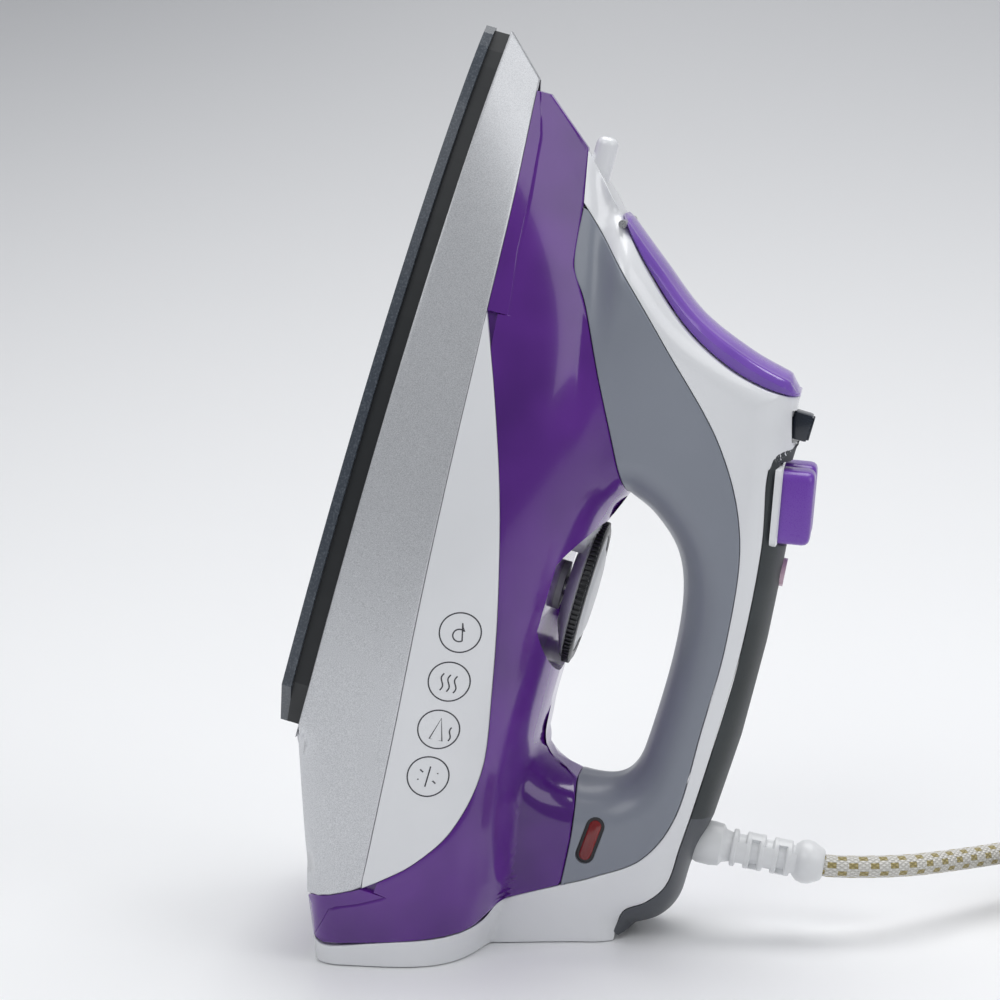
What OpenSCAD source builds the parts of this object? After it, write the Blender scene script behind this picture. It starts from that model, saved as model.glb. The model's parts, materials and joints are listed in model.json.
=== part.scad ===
// Household steam iron, standing on its heel.
//
// Most pieces are drawn in the iron's own working frame: X runs from the
// heel to the nose along the soleplate, Z goes up from the soleplate to the
// handle, and Y goes across.  stand() then puts the iron on its heel.

/* [Stance] */
// Lean of the soleplate from upright when the iron stands on its heel, degrees
lean = 15.5; // [13:0.5:18]
// Height of the soleplate's rear edge above the table
heel_drop = 73.9; // [68:0.5:80]

/* [Body] */
// Length of the soleplate
sole_l = 221; // [184:1:266]
// Greatest width of the soleplate
sole_w = 104; // [86:1:125]
// Height from the soleplate's face to the top of the grip
body_h = 138; // [115:1:166]
// Width of the handle
grip_w = 36; // [30:1:44]
// Wall of the moulded covers
wall = 2.2; // [1.8:0.1:2.7]
// Open line between neighbouring covers
seam = 0.2; // [0.1:0.05:0.4]

/* [Soleplate and heater] */
// Thickness of the soleplate
sole_t = 3; // [2.5:0.1:3.6]
// Steam hole diameter
steam_hole_d = 2.6; // [2:0.1:3.2]
// Thickness of the cast heater base
heater_t = 9; // [7.5:0.5:11]
// Diameter of the tubular heating element
element_d = 7; // [5.8:0.1:8.4]
// Height of the black heat shield above the soleplate
shield_h = 4.9; // [4:0.1:6]

/* [Dial] */
// Diameter of the temperature dial
dial_d = 47; // [39:1:56]
// Height of the dial's knurled rim
dial_rim_h = 3.2; // [2.6:0.1:4]
// Diameter of the dial's shaft
dial_shaft_d = 6; // [5:0.1:7.2]
// Turn of the dial from lowest to highest heat, degrees
dial_turn = 270; // [220:5:300]

/* [Buttons] */
// Length of each button along the handle
button_l = 23; // [19:0.5:26]
// Width of each button across the handle
button_w = 14; // [11.5:0.5:17]
// Travel of the buttons
button_travel = 3; // [2.4:0.1:3.6]
// Diameter of the pump plungers
plunger_d = 6; // [5:0.1:7.2]

/* [Lid and nozzle] */
// Width of the filling lid
lid_w = 29; // [24:1:33]
// Diameter of the lid's hinge pin
lid_pin_d = 2.5; // [2:0.1:3]
// Diameter of the filling hole
inlet_d = 13; // [11:0.5:15]
// Diameter of the spray nozzle
nozzle_d = 7; // [6:0.1:8.4]

/* [Steam lever] */
// Width of the steam lever's knob
lever_w = 8; // [6.5:0.5:9.5]
// Diameter of the steam lever's pivot
lever_pin_d = 4; // [3.4:0.1:4.8]
// Diameter of the valve rod
valve_rod_d = 3; // [2.5:0.1:3.6]

/* [Cord] */
// Diameter of the braided mains cord
cord_d = 7; // [6:0.1:8.4]
// Length of the strain relief
relief_l = 38; // [32:0.5:45]
// Diameter of the swivel drum that carries the strain relief
swivel_d = 15; // [13:0.1:17.5]
// Middle diameter of the stored cord's turns
coil_d = 84; // [76:1:90]
// Diameter of the plug's pins
plug_pin_d = 4.8; // [4.7:0.1:4.9]
// Length of the plug's pins
plug_pin_l = 19; // [18:0.5:20]
// Distance between the plug's pins
plug_pin_gap = 19; // [18.5:0.5:19.5]

/* [Hidden] */

run_gap = 0.05;     // radial clearance of a shaft that turns or slides
free_gap = 0.4;     // clearance between a moving piece and the covers
far = 200;          // longer than anything it cuts

// The outlines below are drawn for a 221 mm sole and a 138 mm high body,
// and stretched to the sizes above.
stretch_u = sole_l / 221;
stretch_v = body_h / 138;
sole_half = sole_w / 2;
grip_half = grip_w / 2;
function U(u) = u * stretch_u;
function V(v) = v * stretch_v;
function at(pts) = [for (p = pts) [U(p[0]), V(p[1])]];

// Row position of the soleplate's rear lower edge: the whole iron is
// centred between that edge and the top of the buttons.
button_top = [U(117), V(137.2)];
stand_x = -(button_top[0] * sin(lean) + button_top[1] * cos(lean)) / 2;
module stand() {
    translate([stand_x, 0, heel_drop])
        rotate([0, lean - 90, 0]) rotate([180, 0, 0]) children();
}
function row(u, v) = [
    stand_x + u * sin(lean) + v * cos(lean), heel_drop + u * cos(lean) - v * sin(lean)];
// Height in X of the table's plane under the heel, at a height v.
function table_u(v) = (v * sin(lean) - heel_drop) / cos(lean);

// ---------------------------------------------------------------- outlines
// Catmull-Rom curve through the points, n pieces to a span.
function cr(a, b, c, d, t) = 0.5 * (2 * b + (c - a) * t
    + (2 * a - 5 * b + 4 * c - d) * t * t + (3 * b - a - 3 * c + d) * t * t * t);
function curve(p, n = 3) = concat([for (i = [0:len(p) - 2]) for (k = [0:n - 1])
    cr(p[max(i - 1, 0)], p[i], p[i + 1], p[min(i + 2, len(p) - 1)], k / n)],
    [p[len(p) - 1]]);
function reverse(p) = [for (i = [len(p) - 1:-1:0]) p[i]];

// Front ridge of the body, from the skirt's nose up to the nozzle.
ridge_foot = at([[221, 8]])[0];
ridge_head = at([[178.5, 57]])[0];
// Neck, from the ridge's head to the top of the iron.
neck_line = curve(at([[178.5, 57], [166, 73], [154, 89], [147, 106], [144, 118], [143, 124]]));
// Underside of the lid.
lid_line = curve(at([[176, 58], [164, 69], [150, 85], [142, 100], [138.5, 113], [138, 125]]));
// Top of the iron behind the lid, down the grip to the rear cover's foot.
top_line = curve(at([[138, 125], [133, 125.5], [122, 128.5], [105, 132], [89, 134.5],
    [61, 137], [30, 138], [2, 137]]), 2);
rear_line = curve(at([[2, 137], [-14, 134.5], [-27, 134], [-35, 130], [-40, 123]]), 2);
// Handle opening.
hole_line = curve(at([[94, 83], [90, 92], [81, 102], [68, 107.5], [48, 110], [22, 110],
    [10, 108.5], [4, 103], [2, 92], [4, 84], [10, 78.5], [24, 77], [58, 77], [84, 79],
    [94, 83]]), 2);
// Slope from the soleplate's rear edge to the heel.
slope_foot = at([[0, 6.5]])[0];
heel_front = [table_u(V(31)), V(31)];
heel_back = [table_u(V(118)), V(118)];
// Lines between the colours, from front to rear.
skirt_line = curve(at([[209, 20.5], [175, 25], [140, 28], [96, 31], [52, 34], [10, 37],
    [-40, 40]]), 2);
skirt_tail = curve(at([[-40, 40], [-44.5, 32], [-48.5, 23.5]]), 2);
panel_line = curve(at([[140, 28], [116, 38], [88, 48], [58, 56], [30, 61.5], [4, 65],
    [-14, 62], [-27, 54], [-35, 46], [-40, 40]]));
frame_front = curve(at([[177, 45], [159, 48], [148, 55], [121, 69], [94, 83]]), 2);
frame_back = curve(at([[-30, 97], [-25, 106], [-15, 119], [2, 125.5], [30, 125.5],
    [60, 125], [92, 120], [118, 106], [142, 83], [160, 64.5], [177, 45]]), 2);
grip_line = curve(at([[123, 128.5], [120, 123], [112, 122.5], [91, 127], [60, 130], [30, 130.5],
    [2, 130]]), 2);
post_line = curve(at([[2, 92], [-5, 94.5], [-15, 96], [-30, 97]]), 2);
heel_line = curve(at([[-60.5, 28.5], [-61, 34], [-54, 52], [-45.5, 75], [-39, 81], [-30, 97]]), 2);
cover_line = curve(at([[2, 130], [-9, 129.5], [-21, 129], [-28, 124.5], [-33, 118.5],
    [-40, 117.5]]), 2);

// ------------------------------------------------------------ body's width
function seg_d(p, a, b) = let (ab = b - a, t = max(0, min(1, ((p - a) * ab) / (ab * ab))))
    norm(p - a - ab * t);
function path_d(p, path) = min([for (i = [0:len(path) - 2]) seg_d(p, path[i], path[i + 1])]);
function mix(a, b, t) = a + (b - a) * t;
function ramp(x, a, b) = max(0, min(1, (x - a) / (b - a)));
function ease(x, a, b) = let (t = ramp(x, a, b)) t * t * (3 - 2 * t);
// Rounding of an edge: 0 at the edge, 1 from r inwards.
function round_in(d, r) = let (t = 1 - min(d, r) / r) sqrt(1 - t * t);
function soft_max(a, b, k) = max(a, b) + pow(max(k - abs(a - b), 0), 2) / (4 * k);

bow_from = 20;      // where the soleplate's sides start to close in
bow_power = 2.1;
bow_fine = 0.8;
// Half width of a bow that ends at tip.
function bow(u, tip) = let (t = ramp(u, U(bow_from), tip))
    sole_half * pow(1 - pow(t, bow_power), bow_fine);
ridge_run = (ridge_foot[0] - ridge_head[0]) / (ridge_head[1] - ridge_foot[1]);
function ridge_u(v) = ridge_foot[0] - ridge_run * max(0, v - ridge_foot[1]);
// Share of the full width at a height, square at the heel and round in front.
tank_top = V(77.5);
function arch(u, v) = let (
    heel = ease(u, U(10), U(-35)),
    x = ramp(v, V(20), mix(tank_top, V(82), heel)),
    n = mix(3.2, 10, heel))
    pow(1 - pow(x, n), 1 / 2.2);
function hull_half(u, v) = let (
    d = seg_d([u, v], slope_foot, heel_front) * (u < 0 ? 1 : 0) + (u < 0 ? 0 : 99))
    (bow(u, ridge_u(v)) - 9 * (1 - round_in(d, 9))) * arch(u, v);
loop_line = concat(neck_line, top_line, rear_line);
post_half = 25;     // half width of the rear post and neck at the tank
function post_w(u, v) = let (
    d = min(path_d([u, v], loop_line), path_d([u, v], hole_line)))
    mix(post_half, grip_half, ease(v, V(68), V(118))) * round_in(d, 13)
    * ease(v, V(40), V(66));
least_half = 3;
function half(u, v, inset) = max(least_half - min(inset, 1.5),
    soft_max(hull_half(u, v), post_w(u, v), 6) - inset);

module slab(region, w = far) {
    rotate([90, 0, 0]) linear_extrude(w, center = true) polygon(region);
}
// ------------------------------------------------------- plan of the sole
rear_round = 14;    // radius of the soleplate's rear corners
function plan_half(u) = bow(u, U(221)) - rear_round * (1 - round_in(max(u, 0), rear_round));
function plan_tip(inset) = U(bow_from) + (U(221) - U(bow_from))
    * pow(1 - pow(max(inset, 0.6) / sole_half, 1 / bow_fine), 1 / bow_power);
plan_steps = 22;
module plan(inset, rear = 0) {
    start = inset + rear;
    tip = plan_tip(inset);
    side = [for (k = [0:plan_steps]) let (t = k / plan_steps,
        u = mix(start, tip, 1 - pow(1 - t, 1.5)))
        [u, max(0.3, plan_half(max(u, inset)) - inset)]];
    polygon(concat(side, [for (p = reverse(side)) [p[0], -p[1]]]));
}
module prism(inset, v0, v1, rear = 0) {
    translate([0, 0, v0]) linear_extrude(v1 - v0) plan(inset, rear);
}

// ---------------------------------------------------------- sole and heater
hole_rows = [[186, 0], [176, 7], [164, 12], [150, 17], [134, 22], [116, 26.5], [96, 30],
    [74, 32.5], [52, 34]];
module soleplate() color("#3b4450") difference() {
    prism(0, 0, sole_t);
    for (p = hole_rows) for (s = p[1] == 0 ? [1] : [-1, 1])
        translate([U(p[0]), s * p[1] * sole_half / 52, -1])
            cylinder(h = sole_t + 2, d = steam_hole_d, $fn = 24);
}

heater_v = sole_t + heater_t;
element_gap = 0.1;
element_y = sole_half / 2;
element_u0 = 16;
element_u1 = U(122);
module element_path(d) {
    for (s = [-1, 1]) translate([element_u0, s * element_y, heater_v]) rotate([0, 90, 0])
        cylinder(h = element_u1 - element_u0, d = d, $fn = 24);
    translate([element_u1, 0, heater_v]) rotate([0, 0, -90])
        rotate_extrude(angle = 180, $fn = 64) translate([element_y, 0]) circle(d = d, $fn = 24);
}
chamber = [U(30), U(126)];
chamber_half = element_y - element_d / 2 - 5;
chamber_deep = 4;
module heater_base() color("silver") difference() {
    prism(5, sole_t, heater_v);
    element_path(element_d + 2 * element_gap);
    element_ends(element_d / 2 + 4 * element_gap, 20);
    translate([chamber[0], -chamber_half, heater_v - chamber_deep])
        cube([chamber[1] - chamber[0], 2 * chamber_half, chamber_deep + 1]);
}
module element_ends(d, l) for (s = [-1, 1]) translate([element_u0 - l, s * element_y, heater_v])
    rotate([0, 90, 0]) cylinder(h = l + 0.01, d = d, $fn = 20);
module heating_element() color("dimgray") {
    element_path(element_d);
    element_ends(element_d / 2, 9);
}
cover_t = 1.5;
cover_edge = 3;
valve_u = U(120);
cap_v = heater_v + cover_t;
module steam_chamber_cover() color("lightgray") difference() {
    translate([chamber[0] - cover_edge, -chamber_half - cover_edge, heater_v])
        cube([chamber[1] - chamber[0] + 2 * cover_edge, 2 * (chamber_half + cover_edge), cover_t]);
    translate([valve_u, 0, heater_v - 1]) cylinder(h = cover_t + 2, d = 5, $fn = 24);
}
floor_v = V(31);
seat_d = 12;
module valve_grommet() color("tomato") difference() {
    translate([valve_u, 0, cap_v]) cylinder(h = floor_v - cap_v, d = seat_d, $fn = 32);
    translate([valve_u, 0, cap_v - 1]) cylinder(h = floor_v - cap_v + 2, d = 5, $fn = 24);
}
shield_v = sole_t + shield_h;
module heat_shield() color("#15181a") difference() {
    prism(1.6, sole_t, shield_v);
    prism(4.8, sole_t - 1, shield_v + 1);
}

// ------------------------------------------------------------------ covers
// Every moulded cover is a band of the body's surface between two lines of
// the side view.  Across the iron it is a U: a wall on each side, joined by
// a web along the first line, and open along the second.
function unit(v) = v / norm(v);
function lengths(p, i = 0, sum = 0) = i == len(p) - 1 ? [sum]
    : concat([sum], lengths(p, i + 1, sum + norm(p[i + 1] - p[i])));
// Point at a share t of a line's length.
function along(p, t) = let (
    s = lengths(p),
    x = max(0, min(1, t)) * s[len(s) - 1],
    i = max([for (k = [0:len(p) - 2]) if (s[k] <= x) k]))
    mix(p[i], p[i + 1], min(1, (x - s[i]) / max(s[i + 1] - s[i], 1e-9)));
function side_point(p, w) = [p[0], w, p[1]];
function u_ring(a0, b0, thick, m) = let (
    d = unit(b0 - a0),
    a = a0 + d * seam / 2,
    b = b0 - d * seam / 2,
    q = a + d * min(thick, 0.4 * norm(b - a)),
    outer = [for (k = [0:m]) let (p = mix(a, b, k / m)) side_point(p, half(p[0], p[1], 0))],
    inner = [for (k = [0:m]) let (p = mix(q, b, k / m))
        side_point(p, max(0.6, half(p[0], p[1], 0) - thick))])
    concat(reverse(outer), flip(outer), reverse(flip(inner)), inner);
function flip(p) = [for (q = p) [q[0], -q[1], q[2]]];
// Solid through a list of rings that all have the same even number of points.
// Each ring is a strip whose two edges run out and back, so point k faces
// point m - 1 - k, and the two end caps are that strip's rungs.
module loft(rings) {
    n = len(rings);
    m = len(rings[0]);
    cap = [for (k = [0:m / 2 - 2]) let (f = m - 1 - k) for (h = [0, 1]) h == 0
        ? [k, k + 1, f] : [k + 1, f - 1, f]];
    end = (n - 1) * m;
    polyhedron([for (r = rings) each r], concat(
        [for (i = [0:n - 2]) for (k = [0:m - 1]) let (k1 = (k + 1) % m) for (h = [0, 1]) h == 0
            ? [i * m + k, (i + 1) * m + k, (i + 1) * m + k1]
            : [i * m + k, (i + 1) * m + k1, i * m + k1]],
        cap, [for (t = cap) [end + t[0], end + t[2], end + t[1]]]));
}
// Twice the signed area of the region between two lines.
function turn(p) = sum_of([for (i = [0:len(p) - 1]) let (a = p[i], b = p[(i + 1) % len(p)])
    a[0] * b[1] - b[0] * a[1]]);
function sum_of(v, i = 0, t = 0) = i == len(v) ? t : sum_of(v, i + 1, t + v[i]);
module band(web, open, thick = wall, n = 16, m = 4) {
    rings = [for (i = [0:n]) u_ring(along(web, i / n), along(open, i / n), thick, m)];
    loft(turn(concat(web, reverse(open))) < 0 ? rings : reverse(rings));
}
// A wall closed all the way round the iron, between a lower and an upper line.
module hoop(low, high, thick, n, levels) {
    function level(s, inset) = let (
        start = inset / norm(high[0] - high[len(high) - 1]),
        side = [for (i = [0:n]) let (t = mix(start, 1 - 2.5 * start, i / n),
            p = mix(along(low, t), along(high, t), s))
            side_point(p, max(0.8 - inset * 0.2, half(p[0], p[1], 0) - inset))])
        concat(side, reverse(flip(side)));
    outer = [for (i = [0:levels]) level(i / levels, 0)];
    inner = [for (i = [levels:-1:0]) level(i / levels, thick)];
    rings = concat(outer, inner);
    m = len(outer[0]);
    all = len(rings);
    polyhedron([for (r = rings) each r],
        [for (i = [0:all - 1]) for (k = [0:m - 1]) for (h = [0, 1])
            let (k1 = (k + 1) % m, i1 = (i + 1) % all) h == 0
            ? [i * m + k, i1 * m + k1, i1 * m + k]
            : [i * m + k, i * m + k1, i1 * m + k1]]);
}

// Silver skirt round the soleplate, and down the back to the heel.
skirt_t = 2;
skirt_low = [[U(0.5), shield_v + seam / 2], ridge_foot];
skirt_high = concat(reverse(skirt_tail), reverse(skirt_line));
module skirt() color("#c9cbce") hoop(skirt_low, skirt_high, skirt_t, 20, 3);

// White panels set into the tank's sides.
panel_t = 1.8;
panel_gap = 0.5;    // gap between a panel and the edge of its recess
panel_low = reverse([for (p = skirt_line) if (p[0] < U(139)) p]);
panel_high = reverse(panel_line);
module side_panel(s) {
    n = 16;
    m = 4;
    loft([for (i = [0:n]) let (
        t = mix(0.02, 0.98, i / n),
        a0 = along(panel_low, t),
        b0 = along(panel_high, t),
        d = unit(b0 - a0),
        face = [for (k = [0:m]) let (p = mix(a0 + d * seam / 2, b0 - d * panel_gap, k / m))
            [p[0], s * half(p[0], p[1], 0), p[1]]],
        back = [for (p = face) p - [0, s * panel_t, 0]])
        s > 0 ? concat(face, reverse(back)) : concat(back, reverse(face))]);
}
module side_panel_left() color("#f2f2f2") side_panel(1);
module side_panel_right() color("#f2f2f2") side_panel(-1);

// Water tank: shows in front of, above and below the white panels, and runs
// on behind them.  The floor closes it underneath.
tank_front = [ridge_u(V(41)), V(41)];
tank_t = 2.2;
floor_t = 2.5;
dial_u = U(58.5);
dial_well_v = V(71.5);
well_gap = 2;
shaft_tube_d = 16;
tank_high = at([[-60.5, 33], [-54, 52], [-45.5, 75], [-39, 81], [-30, 97], [-15, 96],
    [-5, 94.5], [1.5, 92], [4, 84], [7, 80.3], [12, 78.4], [24, 77.4], [70, 77.4], [84, 79],
    [94, 83], [121, 69], [148, 55], [159, 48], [177, 45], [193, 41], [206, 25]]);
tank_low = concat([heel_front], reverse(skirt_tail), reverse(skirt_line));
panel_table = reverse(panel_line);
tank_stations = concat([for (p = tank_high) p[0]],
    [for (u = [-40.5, -35, -22, 36, 48, 58, 106, 134, 139.5, 141, 168, 185, 200]) U(u)]);
function sorted(p) = len(p) < 2 ? p : let (x = p[0], r = [for (i = [1:len(p) - 1]) p[i]])
    concat(sorted([for (q = r) if (q < x) q]), [x], sorted([for (q = r) if (q > x) q]));
function by_panel(u) = u > U(-40) && u < U(140);
function tank_ring(u, inset) = let (
    low = lookup(u, tank_low) + seam / 2,
    high = lookup(u, tank_high) - seam / 2 - inset,
    edge = by_panel(u) ? lookup(u, panel_table) : low + 0.2 * (high - low),
    depth = (by_panel(u) ? panel_t + 2 * seam : 0) + inset,
    side = concat(
        [for (v = [low, mix(low, edge, 0.5), edge - 0.15]) side_point([u, v],
            max(1, half(u, v, 0) - depth))],
        [for (k = [0:5]) let (v = mix(edge + 0.15, high, 1 - pow(1 - k / 5, 1.6)))
            side_point([u, v], max(1, half(u, v, 0) - inset))]))
    side;
module tank_body() {
    loft([for (u = sorted(tank_stations)) let (
        outer = tank_ring(u, 0),
        inner = tank_ring(u, tank_t))
        concat(outer, reverse(flip(outer)), flip(inner), reverse(inner))]);
}
module water_tank() color("#6a2fb0") difference() {
    tank_body();
    translate([dial_u, 0, dial_well_v]) cylinder(h = 30, d = dial_d + 2 * well_gap, $fn = 60);
    translate([dial_u, 0, V(60)]) cylinder(h = 30, d = shaft_tube_d, $fn = 40);
    translate([valve_u, 0, V(60)]) cylinder(h = 20, d = valve_rod_d + 2, $fn = 24);
    pointer_shape(seam);
    nozzle_room();
    tube(hose_line, hose_d + 2 * free_gap);
    wires(wire_d + 2 * free_gap);
    slab(frame_region);
}
module tank_floor() color("#8d5bd0") difference() {
    loft([for (u = [U(-36):U(12):U(186)]) let (
        v = lookup(u, tank_low) + 0.4,
        w = half(u, v, 0) - panel_t - tank_t - 6 * seam)
        [[u, w, v], [u, -w, v], [u, -w, v + floor_t], [u, w, v + floor_t]]]);
    translate([dial_u, 0, V(25)]) cylinder(h = 20, d = shaft_tube_d, $fn = 40);
    translate([valve_u, 0, V(20)]) cylinder(h = 20, d = seat_d, $fn = 40);
    wires(wire_d + 2 * free_gap);
}

// Grey frame of the handle: neck, bar and rear post round the opening.
frame_in = concat(at([[176, 44.6]]), [for (p = frame_front) if (p[0] < U(175)) p],
    [for (i = [1:16]) hole_line[i]], [for (i = [1:len(post_line) - 1]) post_line[i]]);
frame_out = concat(at([[175.4, 46.6]]), [for (p = reverse(frame_back)) if (p[0] < U(174)) p],
    at([[-29.2, 99]]));
frame_n = 30;
frame_region = concat([for (i = [0:frame_n]) along(frame_in, i / frame_n)],
    [for (i = [frame_n:-1:0]) along(frame_out, i / frame_n)]);
lens_l = 16;
lens_w = 5;
lens_t = 2;
lens_at = at([[-13.5, 102]])[0];
lens_out = half(lens_at[0], lens_at[1], 0);
module handle_frame() color("#8d939b") difference() {
    band(frame_in, frame_out, n = frame_n, m = 4);
    nozzle_room();
    tube(hose_line, hose_d + 2 * free_gap);
    wires(wire_d + 2 * free_gap);
    translate([lens_at[0], 0, lens_at[1]])
        cube([lens_l + 0.4, far, lens_w + 0.4], center = true);
    translate([valve_u, 0, V(60)]) cylinder(h = 30, d = valve_rod_d + 2, $fn = 24);
}

// White cover over the neck and the sides of the grip.
split_u = U(2);     // seam between the upper and the lower white covers
upper_back = [for (p = frame_back) if (p[0] > split_u - 0.1) p];
lower_back = [for (p = frame_back) if (p[0] < split_u + 0.1) p];
cover_out = concat([tank_front], at([[184, 50]]), lid_line,
    [for (p = top_line) if (p[0] > U(122.5) && p[0] < U(137)) p], grip_line);
module handle_cover() color("#f4f4f4") difference() {
    band(cover_out, reverse(upper_back), n = 30, m = 3);
    lid_room();
    lever_slot();
    plunger_room();
    button_room();
    inlet_frame() translate([0, 0, -8]) cylinder(h = 20, d = inlet_d + 4, $fn = 40);
    nozzle_room();
}

grip_t = 2.6;
grip_out = concat(at([[122.5, 128.4], [118.6, 128.4], [117.8, 125], [93, 129.9], [92, 134.2],
    [80, 135.4], [61, 137], [30, 138], [2, 137]]));
module soft_grip() color("#23282b") difference() {
    band(grip_out, grip_line, thick = grip_t, n = 20, m = 2);
    button_room();
    badge_frame() badge_shape(0.2);
}

// White foot under the rear, which the iron stands on, and the dark cover
// over the cord's entry.
heel_in = concat([for (p = heel_line) if (p[1] < V(96)) p], [for (i = [1:len(lower_back) - 1])
    lower_back[i]]);
heel_out = concat([heel_front, heel_back], reverse(cover_line));
module heel_cover() color("#f4f4f4") difference() {
    band(heel_out, heel_in, thick = 2.6, n = 20, m = 3);
    relief_room();
    screw_room();
    slab(rear_region, 2 * (rear_half + seam));
}
rear_web = concat([heel_back + [1.5, 1]], [for (p = reverse(rear_line)) if (p[0] > U(-39)) p]);
rear_in = concat([heel_back + [3, -1.5]], [for (p = reverse(cover_line)) if (p[0] > U(-37)) p]);
rear_region = concat(rear_web, reverse(rear_in));
rear_half = 16;      // half width of the rear cover
rear_t = 2.4;
module rear_cover() color("#45494d") difference() {
    slab(concat(rear_web, reverse([for (p = rear_in) p + [seam, seam]])), 2 * rear_half);
    slab(concat([for (p = rear_web) p + [rear_t, -rear_t]], [rear_in[len(rear_in) - 1] + [5, -20],
        rear_in[0] + [20, -5]]), 2 * (rear_half - rear_t));
    relief_room();
}

// ----------------------------------------------------------- filling lid
inlet_at = at([[157, 76.8]])[0];
inlet_lean = 49;    // lean of the filling hole from the soleplate's upright, degrees
module inlet_frame() {
    translate([inlet_at[0], 0, inlet_at[1]]) rotate([0, inlet_lean, 0]) children();
}
inlet_l = 12;
module fill_inlet() color("#d9d9dd") inlet_frame() difference() {
    translate([0, 0, -inlet_l - 1]) cylinder(h = inlet_l, d = inlet_d + 3, $fn = 40);
    translate([0, 0, -inlet_l - 2]) cylinder(h = inlet_l + 2, d = inlet_d, $fn = 40);
}
lid_hinge = at([[174.6, 58.6]])[0];
knuckle_d = lid_pin_d + 2.4;
module lid_room() {
    translate([lid_hinge[0], 0, lid_hinge[1]]) rotate([90, 0, 0])
        cylinder(h = lid_w + 2 * free_gap, d = knuckle_d + 2 * free_gap, center = true, $fn = 24);
}
lid_region = concat(
    [for (p = neck_line) if (p[1] > V(60)) p],
    reverse([for (p = lid_line) if (p[1] > V(61)) p + [free_gap, free_gap]]));
module fill_lid() color("#a98be0") difference() {
    union() {
        slab(lid_region, lid_w);
        translate([lid_hinge[0], 0, lid_hinge[1]]) rotate([90, 0, 0])
            cylinder(h = lid_w - 4, d = knuckle_d, center = true, $fn = 32);
    }
    translate([lid_hinge[0], 0, lid_hinge[1]]) rotate([90, 0, 0])
        cylinder(h = lid_w, d = lid_pin_d + 2 * run_gap, center = true, $fn = 32);
    seal_shape(0.05);
}
module lid_hinge_pin() color("silver") translate([lid_hinge[0], 0, lid_hinge[1]])
    rotate([90, 0, 0]) cylinder(h = lid_w + 3, d = lid_pin_d, center = true, $fn = 32);
module seal_shape(extra = 0) inlet_frame() translate([0, 0, -2.6])
    cylinder(h = 3.2 + extra, d = inlet_d - 1.6 + 2 * extra, $fn = 40);
module lid_seal() color("#e8e4f2") seal_shape();

// ------------------------------------------------------------- spray nozzle
nozzle_v = 46;
nozzle_l = 22;
nozzle_tail = 6;     // length of the spigot that the hose sits on
jet_d = 1;
module nozzle_frame() translate([U(198), 0, V(nozzle_v)]) rotate([0, -90, 0]) children();
module nozzle_room() nozzle_frame() translate([0, 0, -12])
    cylinder(h = nozzle_l + nozzle_tail + 12, d = nozzle_d + seam, $fn = 40);
module spray_nozzle() color("#efefef") nozzle_frame() difference() {
    union() {
        cylinder(h = nozzle_l, d = nozzle_d, $fn = 40);
        translate([0, 0, nozzle_l]) cylinder(h = nozzle_tail, d = nozzle_d - 3, $fn = 32);
    }
    translate([0, 0, -1]) cylinder(h = nozzle_l + nozzle_tail + 2, d = jet_d, $fn = 20);
}
hose_d = 4;
hose_y = 7;          // the hose passes beside the valve rod
hose_line = curve([[U(198) - nozzle_l - nozzle_tail - 0.1, 0, V(nozzle_v)], [U(156), 1, V(50)],
    [U(140), 0.6 * hose_y, V(66)], [U(126), hose_y, V(82)], [U(112), hose_y, V(93)],
    [U(103), hose_y, V(103)]], 2);
module spray_hose() color("#dfe6e8") tube(hose_line, hose_d);

// ------------------------------------------------------------- steam lever
lever_u = [U(125), U(133)];
lever_axis_v = V(104);
lever_top_v = V(131);
lever_swing = 12;
lever_reach = lever_w / 2 + (lever_top_v - lever_axis_v) * sin(lever_swing) + free_gap;
module lever_slot() translate([lever_u[0] - 1, -lever_reach, V(98)])
    cube([lever_u[1] - lever_u[0] + 2, 2 * lever_reach, far]);
module lever_bracket() color("#5a5e63") {
    translate([U(112), -7, V(98)]) cube([3, 14, V(110) - V(98)]);
    translate([U(112), 0, lever_axis_v]) rotate([0, 90, 0])
        cylinder(h = lever_u[1] + 1.5 - U(112), d = lever_pin_d, $fn = 32);
}
module steam_lever() color("#1d2733") difference() {
    union() {
        translate([lever_u[0], 0, lever_axis_v]) rotate([0, 90, 0])
            cylinder(h = lever_u[1] - lever_u[0], d = lever_pin_d + 5, $fn = 40);
        translate([lever_u[0] + 2, -2, lever_axis_v]) cube([4, 4, V(126) - lever_axis_v]);
        translate([lever_u[0], -lever_w / 2, V(124)])
            cube([lever_u[1] - lever_u[0], lever_w, lever_top_v - V(124)]);
    }
    translate([lever_u[0] - 1, 0, lever_axis_v]) rotate([0, 90, 0])
        cylinder(h = lever_u[1] - lever_u[0] + 2, d = lever_pin_d + 2 * run_gap, $fn = 40);
}
rod_foot_v = cap_v + 3;
rod_head_v = lever_axis_v - lever_pin_d / 2 - 3;
module valve_rod() color("#c8b26a") translate([valve_u, 0, rod_foot_v])
    cylinder(h = rod_head_v - rod_foot_v, d = valve_rod_d, $fn = 32);
module valve_seat() color("#b9bcc0") translate([valve_u, 0, floor_v + 0.6]) difference() {
    cylinder(h = 14, d = seat_d - 0.4, $fn = 40);
    translate([0, 0, -1]) cylinder(h = 16, d = valve_rod_d + 2 * run_gap, $fn = 32);
}

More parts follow.
